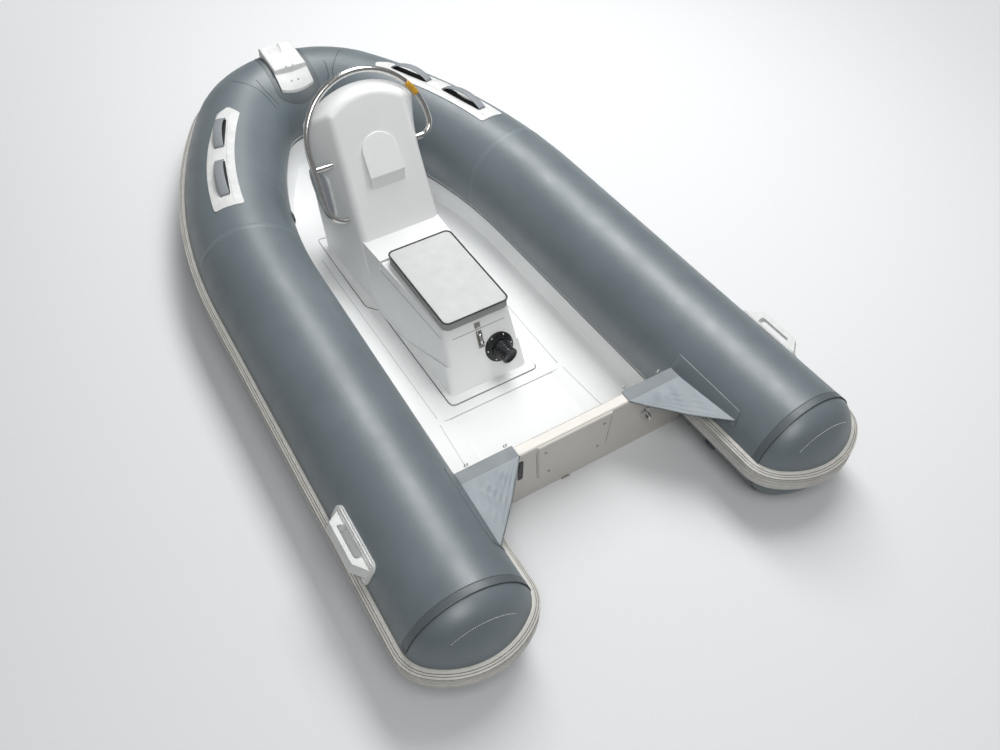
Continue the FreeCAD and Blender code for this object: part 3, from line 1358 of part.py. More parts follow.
rail_section = Part.Wire(Part.makeCircle(rail_radius, foot_inner, to_port))
hoop = rail_path.makePipeShell([rail_section], True, False)
stub = Part.makeCylinder(rail_radius, rail_half - rail_inside, rail_point(rail_inside, rail_arm), to_port)
rail = hoop.fuse(stub).cut(console_solid)
rail = rail.cut(moved_out(console_solid, rail_seat)).cut(moved_out(console_solid, -rail_seat))
solid("rail_hoop", max(rail.Solids, key=lambda body: body.Volume))


# Eyes: a round base plate and a ring that stands up from it
def ring_eye():
    """Eye drawn about the origin, its plate on the YZ plane and its ring towards +X."""
    plate = Part.makeCylinder(eye_plate, eye_sheet, Vector(0, 0, 0), to_bow)
    outer = eye_bore + 2 * eye_rod
    centre = Vector(eye_sheet + outer - eye_rod / 2, -eye_rod, 0)
    ring = Part.makeCylinder(outer, 2 * eye_rod, centre, to_port)
    rims = [edge for edge in ring.Edges if isinstance(edge.Curve, Part.Circle)]
    ring = ring.makeChamfer(eye_rod / 2, rims)
    hole = Part.makeCylinder(eye_bore, 2 * eye_rod, centre, to_port)
    return plate.fuse(ring).cut(hole)


def placed(shape, point, outward, along):
    """Stand a shape drawn with +X outwards at a point of another surface."""
    shape.Placement = Placement(point, Rotation(outward, along, outward.cross(along), "XYZ"))
    return shape


pair("tow_eye", placed(ring_eye(), Vector(0, eye_side, -eye_depth), Vector(-1, 0, 0), to_port))

# Bow eye on the stem
stem_along = bow_axis - hull_inset - eye_setback
stem_slope = (keel_line(stem_along + 2) - keel_line(stem_along - 2)) / 4
stem_outward = Vector(stem_slope, 0, -1).normalize()
stem_point = Vector(stem_along, 0, keel_line(stem_along))
solid("bow_eye", placed(ring_eye(), stem_point + skin_gap * stem_outward, stem_outward, to_port))


# Inflation valves, one for each chamber, on the tubes' inner sides
def valve(axis_point, inward, lift, along):
    """Valve on the tube beside one point of its axis, "lift" degrees above the level."""
    half = valve_height / 2
    body = Part.makeCylinder(valve_radius, half, Vector(0, 0, 0), to_bow)
    cap = Part.makeCone(cap_foot, cap_head, half, Vector(half, 0, 0), to_bow)
    angle = math.radians(lift)
    normal = math.cos(angle) * inward + math.sin(angle) * UP
    return placed(body.fuse(cap), axis_point + (tube_radius + skin_gap) * normal, normal, along)


pair("valve", valve(straight_point(-tail_reach / 2), -straight_out, -valve_drop, tail_direction()))
valve_heading = math.radians(bow_valve_turn)
valve_out = Vector(math.sin(valve_heading), math.cos(valve_heading), 0)
valve_along = Vector(math.cos(valve_heading), -math.sin(valve_heading), 0)
solid("valve_bow", valve(turn_point(valve_heading), -valve_out, bow_valve_lift, valve_along))

doc.recompute()

for thing in doc.Objects:
    if "Invalid" in thing.State or "Error" in thing.State:
        raise RuntimeError(f"{thing.Name} failed: {thing.State}")
for part in subparts:
    if part.Shape.isNull() or not part.Shape.isValid():
        raise RuntimeError(f"{part.Label} has no valid shape")

os.makedirs("parts", exist_ok=True)
for part in subparts:
    part.Shape.exportStep(f"parts/{part.Label}.step")
    box = part.Shape.BoundBox
    limits = [round(value) for value in (box.XMin, box.XMax, box.YMin, box.YMax, box.ZMin, box.ZMax)]
    print(part.Label, len(part.Shape.Solids), round(part.Shape.Volume / 1e3), "cm3", limits)
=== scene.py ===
import math

import bmesh
import bpy
from mathutils import Matrix, Vector
from mathutils.bvhtree import BVHTree
from mathutils.geometry import tessellate_polygon


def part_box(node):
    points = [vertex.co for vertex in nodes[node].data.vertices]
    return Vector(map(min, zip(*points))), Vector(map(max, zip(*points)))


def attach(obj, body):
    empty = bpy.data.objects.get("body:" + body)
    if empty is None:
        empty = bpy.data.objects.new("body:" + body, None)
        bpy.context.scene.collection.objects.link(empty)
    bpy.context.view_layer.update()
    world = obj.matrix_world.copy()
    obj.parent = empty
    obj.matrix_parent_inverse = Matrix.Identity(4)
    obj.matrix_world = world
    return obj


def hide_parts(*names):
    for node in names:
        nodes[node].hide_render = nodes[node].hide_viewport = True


# Looks of the inflatable boat: metres, +X to the bow, +Y to port, z = 0 at the still water.

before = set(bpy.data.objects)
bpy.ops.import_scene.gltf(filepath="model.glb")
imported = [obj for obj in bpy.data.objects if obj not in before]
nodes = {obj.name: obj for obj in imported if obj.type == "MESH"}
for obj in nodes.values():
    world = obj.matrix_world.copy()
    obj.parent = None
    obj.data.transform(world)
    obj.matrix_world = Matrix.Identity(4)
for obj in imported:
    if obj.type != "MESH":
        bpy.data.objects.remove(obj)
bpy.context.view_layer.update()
BOAT = "boat"
SEAT = "seat"
UP = Vector((0, 0, 1))

# The tube, as the CAD has it
AXIS_HEIGHT = 0.180
TUBE_RADIUS = 0.210
AXIS_SPREAD = 0.629
TAPER = math.radians(1.5)
STRAIGHT_REACH = 1.130
SHOULDER_RADIUS = 2.160
BOW_RADIUS = 0.330
TAIL_REACH = 0.372


def straight(along):
    """Axis point, outboard direction and heading where the port tube is straight."""
    point = Vector((along, AXIS_SPREAD - along * math.tan(TAPER), AXIS_HEIGHT))
    out = Vector((math.sin(TAPER), math.cos(TAPER), 0))
    heading = Vector((math.cos(TAPER), -math.sin(TAPER), 0))
    return point, out, heading


shoulder_end, shoulder_out, _ = straight(STRAIGHT_REACH)
SHOULDER = shoulder_end - SHOULDER_RADIUS * shoulder_out
KNUCKLE = math.acos(-SHOULDER.y / (SHOULDER_RADIUS - BOW_RADIUS))
BOW_CENTRE = SHOULDER + (SHOULDER_RADIUS - BOW_RADIUS) * Vector((math.sin(KNUCKLE), math.cos(KNUCKLE), 0))


def turned(turn):
    """Axis point, outboard direction and heading where the port tube heads "turn" inboard."""
    out = Vector((math.sin(turn), math.cos(turn), 0))
    along = Vector((math.cos(turn), -math.sin(turn), 0))
    if turn <= KNUCKLE:
        return SHOULDER + SHOULDER_RADIUS * out, out, along
    return BOW_CENTRE + BOW_RADIUS * out, out, along


def skin(place, degrees, lift=0.0):
    """A point on the tube and its normal, "degrees" above the outboard level."""
    point, out, _ = place
    angle = math.radians(degrees)
    normal = math.cos(angle) * out + math.sin(angle) * UP
    return point + (TUBE_RADIUS + lift) * normal, normal


def sided(side, vector):
    """A port vector, or its mirror image for the starboard side."""
    return Vector((vector.x, side * vector.y, vector.z))


SIDES = (("port", 1), ("starboard", -1))


# Materials
def new_material(name, colour, roughness, metallic=0.0):
    made = bpy.data.materials.new(name)
    made.use_nodes = True
    shader = made.node_tree.nodes["Principled BSDF"]
    shader.inputs["Base Color"].default_value = (*colour, 1)
    shader.inputs["Roughness"].default_value = roughness
    shader.inputs["Metallic"].default_value = metallic
    return made, made.node_tree, shader


def object_place(tree):
    """The material's one node of object coordinates."""
    coordinates = tree.nodes.get("Where") or tree.nodes.new("ShaderNodeTexCoord")
    coordinates.name = "Where"
    return coordinates


def noise(tree, scale, detail=3.0, roughness=0.55):
    coordinates = object_place(tree)
    texture = tree.nodes.new("ShaderNodeTexNoise")
    texture.inputs["Scale"].default_value = scale
    texture.inputs["Detail"].default_value = detail
    texture.inputs["Roughness"].default_value = roughness
    tree.links.new(coordinates.outputs["Object"], texture.inputs["Vector"])
    return texture.outputs["Fac"]


def spread(tree, value, low, high):
    """Stretch a noise value to a range."""
    made = tree.nodes.new("ShaderNodeMapRange")
    made.inputs["From Min"].default_value = 0.3
    made.inputs["From Max"].default_value = 0.7
    made.inputs["To Min"].default_value = low
    made.inputs["To Max"].default_value = high
    tree.links.new(value, made.inputs["Value"])
    return made.outputs["Result"]


def tint(tree, shader, value, dark, light):
    """Colour that drifts between two tones."""
    ramp = tree.nodes.new("ShaderNodeValToRGB")
    ramp.color_ramp.elements[0].position = 0.35
    ramp.color_ramp.elements[0].color = (*dark, 1)
    ramp.color_ramp.elements[1].position = 0.68
    ramp.color_ramp.elements[1].color = (*light, 1)
    tree.links.new(value, ramp.inputs["Fac"])
    tree.links.new(ramp.outputs["Color"], shader.inputs["Base Color"])


def bump(tree, shader, *layers):
    """Bump from several (value, distance) layers, one on the other."""
    last = None
    for value, distance in layers:
        made = tree.nodes.new("ShaderNodeBump")
        made.inputs["Distance"].default_value = distance
        made.inputs["Strength"].default_value = 1.0
        tree.links.new(value, made.inputs["Height"])
        if last:
            tree.links.new(last, made.inputs["Normal"])
        last = made.outputs["Normal"]
    tree.links.new(last, shader.inputs["Normal"])


def vary_roughness(tree, shader, scale, low, high):
    tree.links.new(spread(tree, noise(tree, scale), low, high), shader.inputs["Roughness"])


def combine(tree, operation, first, second):
    made = tree.nodes.new("ShaderNodeMath")
    made.operation = operation
    tree.links.new(first, made.inputs[0])
    tree.links.new(second, made.inputs[1])
    return made.outputs["Value"]


def shade(colour, factor):
    return tuple(channel * factor for channel in colour)


def weave(tree, pitch):
    """Two crossed waves: the threads of a cloth."""
    coordinates = object_place(tree)
    waves = []
    for direction in ("X", "Y"):
        wave = tree.nodes.new("ShaderNodeTexWave")
        wave.bands_direction = direction
        wave.inputs["Scale"].default_value = 0.314 / pitch
        wave.inputs["Distortion"].default_value = 0.4
        tree.links.new(coordinates.outputs["Object"], wave.inputs["Vector"])
        waves.append(wave.outputs["Fac"])
    return combine(tree, "MAXIMUM", *waves)


def coated_fabric(name, colour, roughness=0.42):
    made, tree, shader = new_material(name, colour, roughness)
    tint(tree, shader, noise(tree, 5.0), shade(colour, 0.93), shade(colour, 1.05))
    vary_roughness(tree, shader, 14.0, roughness - 0.04, roughness + 0.06)
    creases = noise(tree, 7.0, 2.0)
    threads = weave(tree, 0.0016)
    grain = noise(tree, 420.0)
    bump(tree, shader, (creases, 0.0012), (threads, 0.00004), (grain, 0.00005))
    shader.inputs["Specular IOR Level"].default_value = 1.0
    return made


def rubber(name, colour, roughness=0.5):
    made, tree, shader = new_material(name, colour, roughness)
    tint(tree, shader, noise(tree, 22.0), shade(colour, 0.92), shade(colour, 1.04))
    vary_roughness(tree, shader, 60.0, roughness - 0.06, roughness + 0.08)
    bump(tree, shader, (noise(tree, 35.0, 2.0), 0.0006), (noise(tree, 700.0), 0.00006))
    return made


def gelcoat(name, colour, roughness=0.36, coat=0.15):
    made, tree, shader = new_material(name, colour, roughness)
    tint(tree, shader, noise(tree, 3.0), shade(colour, 0.965), shade(colour, 1.02))
    vary_roughness(tree, shader, 30.0, roughness - 0.04, roughness + 0.10)
    bump(tree, shader, (noise(tree, 5.0, 1.0), 0.0005), (noise(tree, 260.0), 0.00003))
    shader.inputs["Coat Weight"].default_value = coat
    shader.inputs["Coat Roughness"].default_value = 0.2
    return made


def metal(name, colour, roughness=0.16):
    made, tree, shader = new_material(name, colour, roughness, 1.0)
    tint(tree, shader, noise(tree, 40.0), shade(colour, 0.9), colour)
    vary_roughness(tree, shader, 130.0, roughness - 0.06, roughness + 0.10)
    bump(tree, shader, (noise(tree, 300.0), 0.00002))
    return made


def plastic(name, colour, roughness=0.35):
    made, tree, shader = new_material(name, colour, roughness)
    tint(tree, shader, noise(tree, 50.0), shade(colour, 0.9), shade(colour, 1.08))
    vary_roughness(tree, shader, 90.0, roughness - 0.05, roughness + 0.10)
    bump(tree, shader, (noise(tree, 500.0), 0.00008))
    return made


def vinyl(name, colour, roughness=0.5):
    made, tree, shader = new_material(name, colour, roughness)
    tint(tree, shader, noise(tree, 18.0), shade(colour, 0.95), shade(colour, 1.03))
    coordinates = object_place(tree)
    cells = tree.nodes.new("ShaderNodeTexVoronoi")
    cells.inputs["Scale"].default_value = 620.0
    tree.links.new(coordinates.outputs["Object"], cells.inputs["Vector"])
    vary_roughness(tree, shader, 80.0, roughness - 0.05, roughness + 0.08)
    bump(tree, shader, (noise(tree, 26.0), 0.0008), (cells.outputs["Distance"], 0.00012))
    shader.inputs["Sheen Weight"].default_value = 0.12
    return made


def clear_plastic(name, colour, roughness=0.08):
    made, tree, shader = new_material(name, colour, roughness)
    shader.inputs["Transmission Weight"].default_value = 0.25
    shader.inputs["IOR"].default_value = 1.3
    vary_roughness(tree, shader, 60.0, roughness, roughness + 0.12)
    bump(tree, shader, (noise(tree, 25.0), 0.0005))
    return made


TUBE = (0.136, 0.168, 0.185)
WHITE = (0.83, 0.84, 0.84)
MATERIALS = {
    "tube_fabric": coated_fabric("tube_fabric", TUBE),
    "seam_tape": coated_fabric("seam_tape", shade(TUBE, 1.12)),
    "patch_fabric": coated_fabric("patch_fabric", shade(TUBE, 0.62), 0.48),
    "dark_line": rubber("dark_line", (0.03, 0.035, 0.04), 0.6),
    "pale_line": rubber("pale_line", (0.78, 0.80, 0.80), 0.5),
    "grey_tape": coated_fabric("grey_tape", shade(TUBE, 0.8), 0.5),
    "strake_rubber": rubber("strake_rubber", (0.60, 0.59, 0.55), 0.45),
    # Painted shade and a painted highlight on the rub strake's ribs
    "strake_groove": rubber("strake_groove", (0.20, 0.19, 0.17), 0.6),
    "strake_edge": rubber("strake_edge", (0.80, 0.80, 0.78), 0.5),
    # Painted shade: a darker copy of the gusset cloth for the front strips on the transom
    "gusset_shade_cloth": coated_fabric("gusset_shade_cloth", (0.135, 0.16, 0.175), 0.5),
    # Painted shade for the floor panel's edges and crease
    "floor_shade_line": rubber("floor_shade_line", (0.50, 0.51, 0.51), 0.5),
    "shadow": rubber("shadow", (0.012, 0.013, 0.015), 0.7),
    "grey_line": rubber("grey_line", (0.26, 0.26, 0.26), 0.5),
    "deck": gelcoat("deck", WHITE, 0.5, 0.0),
    # Darker steel for the latch base, its catch and the screws of the pad and chock
    "dark_steel": metal("dark_steel", (0.36, 0.35, 0.33), 0.3),
    "white_rubber": rubber("white_rubber", (0.74, 0.75, 0.74), 0.42),
    "webbing": coated_fabric("webbing", (0.23, 0.25, 0.27), 0.6),
    "gusset_cloth": coated_fabric("gusset_cloth", (0.235, 0.275, 0.30), 0.55),
    "gelcoat": gelcoat("gelcoat", WHITE),
    # Painted shade: the white gelcoat darkened and warmed for the aft-facing transom and motor pad
    "transom_gelcoat": gelcoat("transom_gelcoat", (0.74, 0.71, 0.66), 0.4),
    "seat_top": vinyl("seat_top", (0.57, 0.58, 0.58)),
    "seat_side": vinyl("seat_side", (0.27, 0.28, 0.28)),
    "piping": rubber("piping", (0.02, 0.021, 0.022), 0.45),
    "stainless": metal("stainless", (0.74, 0.74, 0.72)),
    "dark_plastic": plastic("dark_plastic", (0.012, 0.013, 0.015), 0.28),
    "valve_plastic": plastic("valve_plastic", (0.08, 0.09, 0.10), 0.4),
    "drain_plastic": plastic("drain_plastic", (0.30, 0.29, 0.25), 0.5),
    "white_plastic": plastic("white_plastic", (0.72, 0.73, 0.73), 0.3),
    "clear_cover": clear_plastic("clear_cover", (0.66, 0.67, 0.73)),
    "amber_tape": plastic("amber_tape", (0.55, 0.30, 0.03), 0.3),
}

DRESS = {
    "hull": "gelcoat",
    "deck_liner": "deck",
    "transom": "transom_gelcoat",
    "motor_pad": "transom_gelcoat",
    "drain_fitting": "drain_plastic",
    "tube_port": "tube_fabric",
    "tube_starboard": "tube_fabric",
    "tube_bow": "tube_fabric",
    "cone_port": "tube_fabric",
    "cone_starboard": "tube_fabric",
    "rub_strake": "strake_rubber",
    "handle_pad_port": "white_rubber",
    "handle_pad_starboard": "white_rubber",
    "carry_handle_port": "white_rubber",
    "carry_handle_starboard": "white_rubber",
    "bow_patch": "patch_fabric",
    "bow_chock": "white_rubber",
    "seat_box": "gelcoat",
    "console": "gelcoat",
    "seat_board": "gelcoat",
    "hinge_fixed": "stainless",
    "hinge_leaves": "stainless",
    "latch_base": "dark_steel",
    "latch_catch": "dark_steel",
    "cable_boot": "dark_plastic",
    "side_panel": "white_plastic",
    "panel_cover": "clear_cover",
    "rail_hoop": "stainless",
    "tow_eye_port": "stainless",
    "tow_eye_starboard": "stainless",
    "bow_eye": "stainless",
    "valve_port": "valve_plastic",
    "valve_starboard": "valve_plastic",
    "valve_bow": "valve_plastic",
}

for node, finish in DRESS.items():
    slots = nodes[node].material_slots
    if not slots:
        nodes[node].data.materials.append(MATERIALS[finish])
    for slot in slots:
        slot.link = "OBJECT"
        slot.material = MATERIALS[finish]


# Worn-off edges of the moulded pieces
EDGE_ROUNDS = {
    "seat_box": 0.0020,
    "seat_board": 0.0016,
    "transom": 0.0020,
    "bow_chock": 0.0018,
    "carry_handle_port": 0.0045,
    "carry_handle_starboard": 0.0045,
    "side_panel": 0.0012,
}
for node, width in EDGE_ROUNDS.items():
    rounding = nodes[node].modifiers.new("Edge", "BEVEL")
    rounding.width = width
    rounding.segments = 3
    rounding.limit_method = "ANGLE"
    rounding.angle_limit = math.radians(32)
    rounding.harden_normals = True


# Making pieces
def piece(name, corners, faces, finish, body=BOAT, smooth=True):
    """A mesh piece that rides on a body."""
    mesh = bpy.data.meshes.new(name)
    mesh.from_pydata([tuple(corner) for corner in corners], [], faces)
    mesh.validate()
    work = bmesh.new()
    work.from_mesh(mesh)
    bmesh.ops.recalc_face_normals(work, faces=work.faces)
    work.to_mesh(mesh)
    work.free()
    for polygon in mesh.polygons:
        polygon.use_smooth = smooth
    made = bpy.data.objects.new(name, mesh)
    bpy.context.scene.collection.objects.link(made)
    mesh.materials.append(MATERIALS[finish])
    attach(made, body)
    return made


def stack_faces(levels, count, closed=False):
    """Faces through a stack of rings: a closed loop, or capped at both ends."""
    faces = []
    for level in range(levels if closed else levels - 1):
        here = level * count
        there = (level + 1) % levels * count
        for k in range(count):
            n = (k + 1) % count
            faces.append((here + k, here + n, there + n, there + k))
    if not closed:
        faces.append(tuple(range(count))[::-1])
        faces.append(tuple((levels - 1) * count + k for k in range(count)))
    return faces


def sweep(points, normals, profile, closed=False):
    """Corners and faces of a closed profile, (across, up) pairs, carried along a path."""
    corners = []
    count = len(points)
    for index, (point, normal) in enumerate(zip(points, normals)):
        before = points[index - 1] if index or closed else point
        after = points[(index + 1) % count] if index < count - 1 or closed else point
        tangent = (after - before).normalized()
        across = tangent.cross(normal).normalized()
        lift = across.cross(tangent).normalized()
        corners += [point + a * across + u * lift for a, u in profile]
    return corners, stack_faces(count, len(profile), closed)


def strip_profile(width, height, sink=0.0006, edge=0.3):
    """A thin strip with rounded shoulders."""
    half = width / 2
    return [
        (-half, -sink),
        (half, -sink),
        (half, height * edge),
        (half - height, height * 0.85),
        (half * 0.5, height),
        (-half * 0.5, height),
        (-half + height, height * 0.85),
        (-half, height * edge),
    ]


def round_profile(radius, count=10):
    angles = [math.tau * k / count for k in range(count)]
    return [(radius * math.cos(angle), radius * math.sin(angle)) for angle in angles]


def join_sweeps(name, sweeps, finish):
    corners = []
    faces = []
    for more_corners, more_faces in sweeps:
        base = len(corners)
        corners += more_corners
        faces += [tuple(base + k for k in face) for face in more_faces]
    return piece(name, corners, faces, finish)


def along_tube(path, profile, side, lift=0.0):
    """A strip along the tube through (place, degrees) pairs."""
    points = []
    normals = []
    for place, degrees in path:
        point, normal = skin(place, degrees, lift)
        points.append(sided(side, point))
        normals.append(sided(side, normal))
    return sweep(points, normals, profile)


def around_tube(place, low, high, profile, side, steps=48):
    """A strip that runs round the tube at one place."""
    path = [(place, low + (high - low) * k / steps) for k in range(steps + 1)]
    return along_tube(path, profile, side)


# Seams of the tubes
CHAMBER_TURN = math.radians(7.1)

for name, side in SIDES:
    chamber_tape = around_tube(turned(CHAMBER_TURN), 20, 200, strip_profile(0.024, 0.0005), side)
    join_sweeps(f"seam_tape_{name}", [chamber_tape], "seam_tape")
    cone_band = around_tube(straight(-TAIL_REACH - 0.013), 16, 345, strip_profile(0.026, 0.0008), side)
    join_sweeps(f"cone_band_{name}", [cone_band], "patch_fabric")
    cone_edge = around_tube(straight(-TAIL_REACH + 0.001), 20, 175, strip_profile(0.0024, 0.0008), side)
    join_sweeps(f"cone_edge_{name}", [cone_edge], "seam_tape")
    line = around_tube(straight(-TAIL_REACH - 0.0265), 20, 175, strip_profile(0.0018, 0.0008), side)
    join_sweeps(f"seam_line_{name}", [line], "dark_line")

# Tape over the joint between the deck and the tubes, and a painted glint along the tape's upper edge
JOINT_ANGLE = 180 + math.degrees(math.asin(0.1 / TUBE_RADIUS))
joint_places = [straight(0.048 + (STRAIGHT_REACH - 0.048) * k / 12) for k in range(13)]
joint_places += [turned(TAPER + (KNUCKLE - TAPER) * k / 16) for k in range(1, 17)]
side_count = len(joint_places)
joint_places += [turned(KNUCKLE + (math.pi - 2 * KNUCKLE) * k / 40) for k in range(1, 40)]
for name, degrees, width, height, finish in (
    ("joint_tape", JOINT_ANGLE - 3.4, 0.022, 0.0012, "grey_tape"),
    # Painted glint: a pale line along the tape's upper edge
    ("joint_glint", JOINT_ANGLE - 6.6, 0.0036, 0.0016, "pale_line"),
):
    points = []
    normals = []
    for place in joint_places:
        point, normal = skin(place, degrees)
        points.append(point)
        normals.append(normal)
    other = [(sided(-1, p), sided(-1, n)) for p, n in zip(points[:side_count], normals[:side_count])]
    points += [p for p, n in reversed(other)]
    normals += [n for p, n in reversed(other)]
    corners, faces = sweep(points, normals, strip_profile(width, height))
    piece(name, corners, faces, finish)


# Seat cushion: a sewn box of vinyl on foam
def rounded_rectangle(low_x, high_x, half, radius, steps=6):
    """Outline of a rectangle with round corners, "half" to each side of the middle."""
    points = []
    centres = (
        (high_x - radius, half - radius, 0),
        (low_x + radius, half - radius, 90),
        (low_x + radius, radius - half, 180),
        (high_x - radius, radius - half, 270),
    )
    for x, y, start in centres:
        for k in range(steps + 1):
            angle = math.radians(start + 90 * k / steps)
            points.append((x + radius * math.cos(angle), y + radius * math.sin(angle)))
    return points


def ring_prism(outlines):
    """Corners and faces of a solid through outlines of (points, height), bottom to top."""
    corners = []
    for points, height in outlines:
        corners += [Vector((x, y, height)) for x, y in points]
    return corners, stack_faces(len(outlines), len(outlines[0][0]))


def apply_modifiers(made):
    graph = bpy.context.evaluated_depsgraph_get()
    graph.update()
    finished = bpy.data.meshes.new_from_object(made.evaluated_get(graph))
    old = made.data
    made.modifiers.clear()
    made.data = finished
    bpy.data.meshes.remove(old)


low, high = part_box("seat_cushion")
CUSHION_BASE = low.z + 0.0005
CUSHION_TOP = high.z
SEAM_HEIGHT = CUSHION_TOP - 0.002
CUSHION_CORNER = 0.026
CUSHION_SWELL = 0.009
PIPING_INSET = 0.003
PIPING_CORNER = 0.023
CLOTH_FRAMES = 20


def cushion_outline(inset, corner, steps=6):
    return rounded_rectangle(low.x + inset, high.x - inset, high.y - inset, corner, steps)


def to_rim(x, y):
    """Distance from a place on the cushion to its nearest side."""
    return min(x - low.x, high.x - x, high.y - abs(y))


def refine(made):
    finer = made.modifiers.new("Finer", "SUBSURF")
    finer.levels = 1
    finer.render_levels = 1


def puff(made):
    """Swell the cover as cloth under pressure, held at its base and its top seam."""
    start = [vertex.co.copy() for vertex in made.data.vertices]
    group = made.vertex_groups.new(name="Held")
    for vertex in made.data.vertices:
        x, y, z = vertex.co
        if z < CUSHION_BASE + 0.003 or (z > SEAM_HEIGHT - 0.006 and to_rim(x, y) < 0.010):
            group.add([vertex.index], 1.0, "REPLACE")
    cloth = made.modifiers.new("Cloth", "CLOTH")
    cloth.settings.vertex_group_mass = "Held"
    cloth.settings.use_pressure = True
    cloth.settings.uniform_pressure_force = 4.0
    cloth.settings.effector_weights.gravity = 0.0
    cloth.settings.tension_stiffness = 60
    cloth.settings.compression_stiffness = 60
    cloth.settings.bending_stiffness = 2
    cloth.point_cache.frame_start = 1
    cloth.point_cache.frame_end = CLOTH_FRAMES
    for number in range(1, CLOTH_FRAMES + 1):
        bpy.context.scene.frame_set(number)
    apply_modifiers(made)
    bpy.context.scene.frame_set(1)
    for vertex, was in zip(made.data.vertices, start):
        moved = vertex.co - was
        if moved.length > CUSHION_SWELL:
            vertex.co = was + moved * (CUSHION_SWELL / moved.length)


def make_cushion():
    body = []
    for inset, height in (
        (0.004, CUSHION_BASE),
        (0.002, CUSHION_BASE + 0.004),
        (0.0035, (CUSHION_BASE + SEAM_HEIGHT) / 2),
        (0.002, SEAM_HEIGHT - 0.003),
        (0.004, SEAM_HEIGHT),
    ):
        body.append((cushion_outline(inset, CUSHION_CORNER - inset), height))
    corners, faces = ring_prism(body)
    made = piece("cushion", corners, faces, "seat_side", SEAT)
    remesh = made.modifiers.new("Remesh", "REMESH")
    remesh.mode = "VOXEL"
    remesh.voxel_size = 0.005
    apply_modifiers(made)
    puff(made)
    made.data.materials.clear()
    made.data.materials.append(MATERIALS["seat_side"])
    made.data.materials.append(MATERIALS["seat_top"])
    for polygon in made.data.polygons:
        polygon.use_smooth = True
        x, y, z = polygon.center
        on_top = z > SEAM_HEIGHT - 0.003 and to_rim(x, y) > 0.0035
        polygon.material_index = 1 if on_top else 0
    smooth = made.modifiers.new("Smooth", "SMOOTH")
    smooth.factor = 0.5
    smooth.iterations = 4
    refine(made)
    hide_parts("seat_cushion")


make_cushion()
edge = [Vector((x, y, SEAM_HEIGHT - 0.001)) for x, y in cushion_outline(PIPING_INSET, PIPING_CORNER, 8)]
corners, faces = sweep(edge, [UP] * len(edge), round_profile(0.0032), True)
piece("cushion_piping", corners, faces, "piping", SEAT)


# Gussets: cloth from the transom's top to the tubes, and their glued tabs
GUSSET_INNER = 0.218
GUSSET_FRONT = 0.048
GUSSET_REACH = 0.265
GUSSET_RISE = 0.026
GUSSET_SAG = 0.006
transom_low, transom_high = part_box("transom")
WEB_HEIGHT = transom_high.z + 0.0016


def gusset(name, side):
    across_steps = 22
    along_steps = 22
    corners = []
    faces = []
    for i in range(across_steps + 1):
        u = i / across_steps
        aft = -GUSSET_REACH * u
        for j in range(along_steps + 1):
            v = j / along_steps
            x = GUSSET_FRONT + v * (aft - GUSSET_FRONT)
            behind = max(-x, 0.0) / GUSSET_REACH
            level = WEB_HEIGHT + GUSSET_RISE * behind
            tube_half = math.sqrt(TUBE_RADIUS**2 - (level - AXIS_HEIGHT) ** 2)
            tube_side = straight(x)[0].y - tube_half
            y = GUSSET_INNER + u * (tube_side - GUSSET_INNER)
            free = min(1.0, max(-x, 0.0) / 0.05) * math.sin(math.pi * u)
            fold = 0.0035 * math.sin(26 * u + 9 * v) * math.sin(math.pi * v)
            fold += 0.002 * math.sin(43 * v - 11 * u)
            corners.append(Vector((x, side * y, level + free * (fold - GUSSET_SAG))))
    row = along_steps + 1
    for i in range(across_steps):
        for j in range(along_steps):
            faces.append((i * row + j, i * row + j + 1, (i + 1) * row + j + 1, (i + 1) * row + j))
    made = piece(f"gusset_web_{name}", corners, faces, "gusset_cloth")
    thick = made.modifiers.new("Thick", "SOLIDIFY")
    thick.thickness = 0.0016
    thick.offset = 0.0
    refine(made)
    apply_modifiers(made)
    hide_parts(f"gusset_{name}")
    hem = [corners[i * row + along_steps] for i in range(across_steps + 1)]
    hem_corners, hem_faces = sweep(hem, [UP] * len(hem), round_profile(0.0019, 8))
    piece(f"gusset_hem_{name}", hem_corners, hem_faces, "patch_fabric")
    tab_ends = ((-0.25, 141), (0.055, 141), (0.055, 160), (-0.265, 157))
    tab_corners, tab_faces = tube_patch([(straight(x), degrees) for x, degrees in tab_ends], 0.0018)
    tab = ([sided(side, corner) for corner in tab_corners], tab_faces)
    join_sweeps(f"gusset_tab_{name}", [tab], "tube_fabric")


def tube_patch(path, thickness, lift=0.0002, rows=14, columns=14):
    """A thin sheet on the tube between four (place, degrees) corners."""
    (a, a_deg), (b, b_deg), (c, c_deg), (d, d_deg) = path
    corners = []
    faces = []
    for layer in (lift, lift + thickness):
        for i in range(rows + 1):
            s = i / rows
            for j in range(columns + 1):
                t = j / columns
                first = a[0].lerp(b[0], s)
                second = d[0].lerp(c[0], s)
                middle = first.lerp(second, t)
                degrees = (a_deg * (1 - s) + b_deg * s) * (1 - t) + (d_deg * (1 - s) + c_deg * s) * t
                point, normal = skin((middle, a[1], a[2]), degrees, layer)
                corners.append(point)
    width = columns + 1
    size = (rows + 1) * width
    for i in range(rows):
        for j in range(columns):
            k = i * width + j
            faces.append((k, k + 1, k + width + 1, k + width))
            faces.append((size + k, size + k + width, size + k + width + 1, size + k + 1))
    rim = list(range(width))
    rim += [i * width + columns for i in range(1, rows + 1)]
    rim += [rows * width + j for j in range(columns - 1, -1, -1)]
    rim += [i * width for i in range(rows - 1, 0, -1)]
    for k, first in enumerate(rim):
        second = rim[(k + 1) % len(rim)]
        faces.append((first, size + first, size + second, second))
    return corners, faces


for name, side in SIDES:
    gusset(name, side)


# Grab straps: webbing arched out of slits in the pads
PAD_START = math.radians(10.8)
PAD_STOP = math.radians(28.5)
PAD_SHEET = 0.0033
STRAP_ANGLE = 82
STRAP_WIDTH = 0.036
STRAP_ARCH = 0.0285


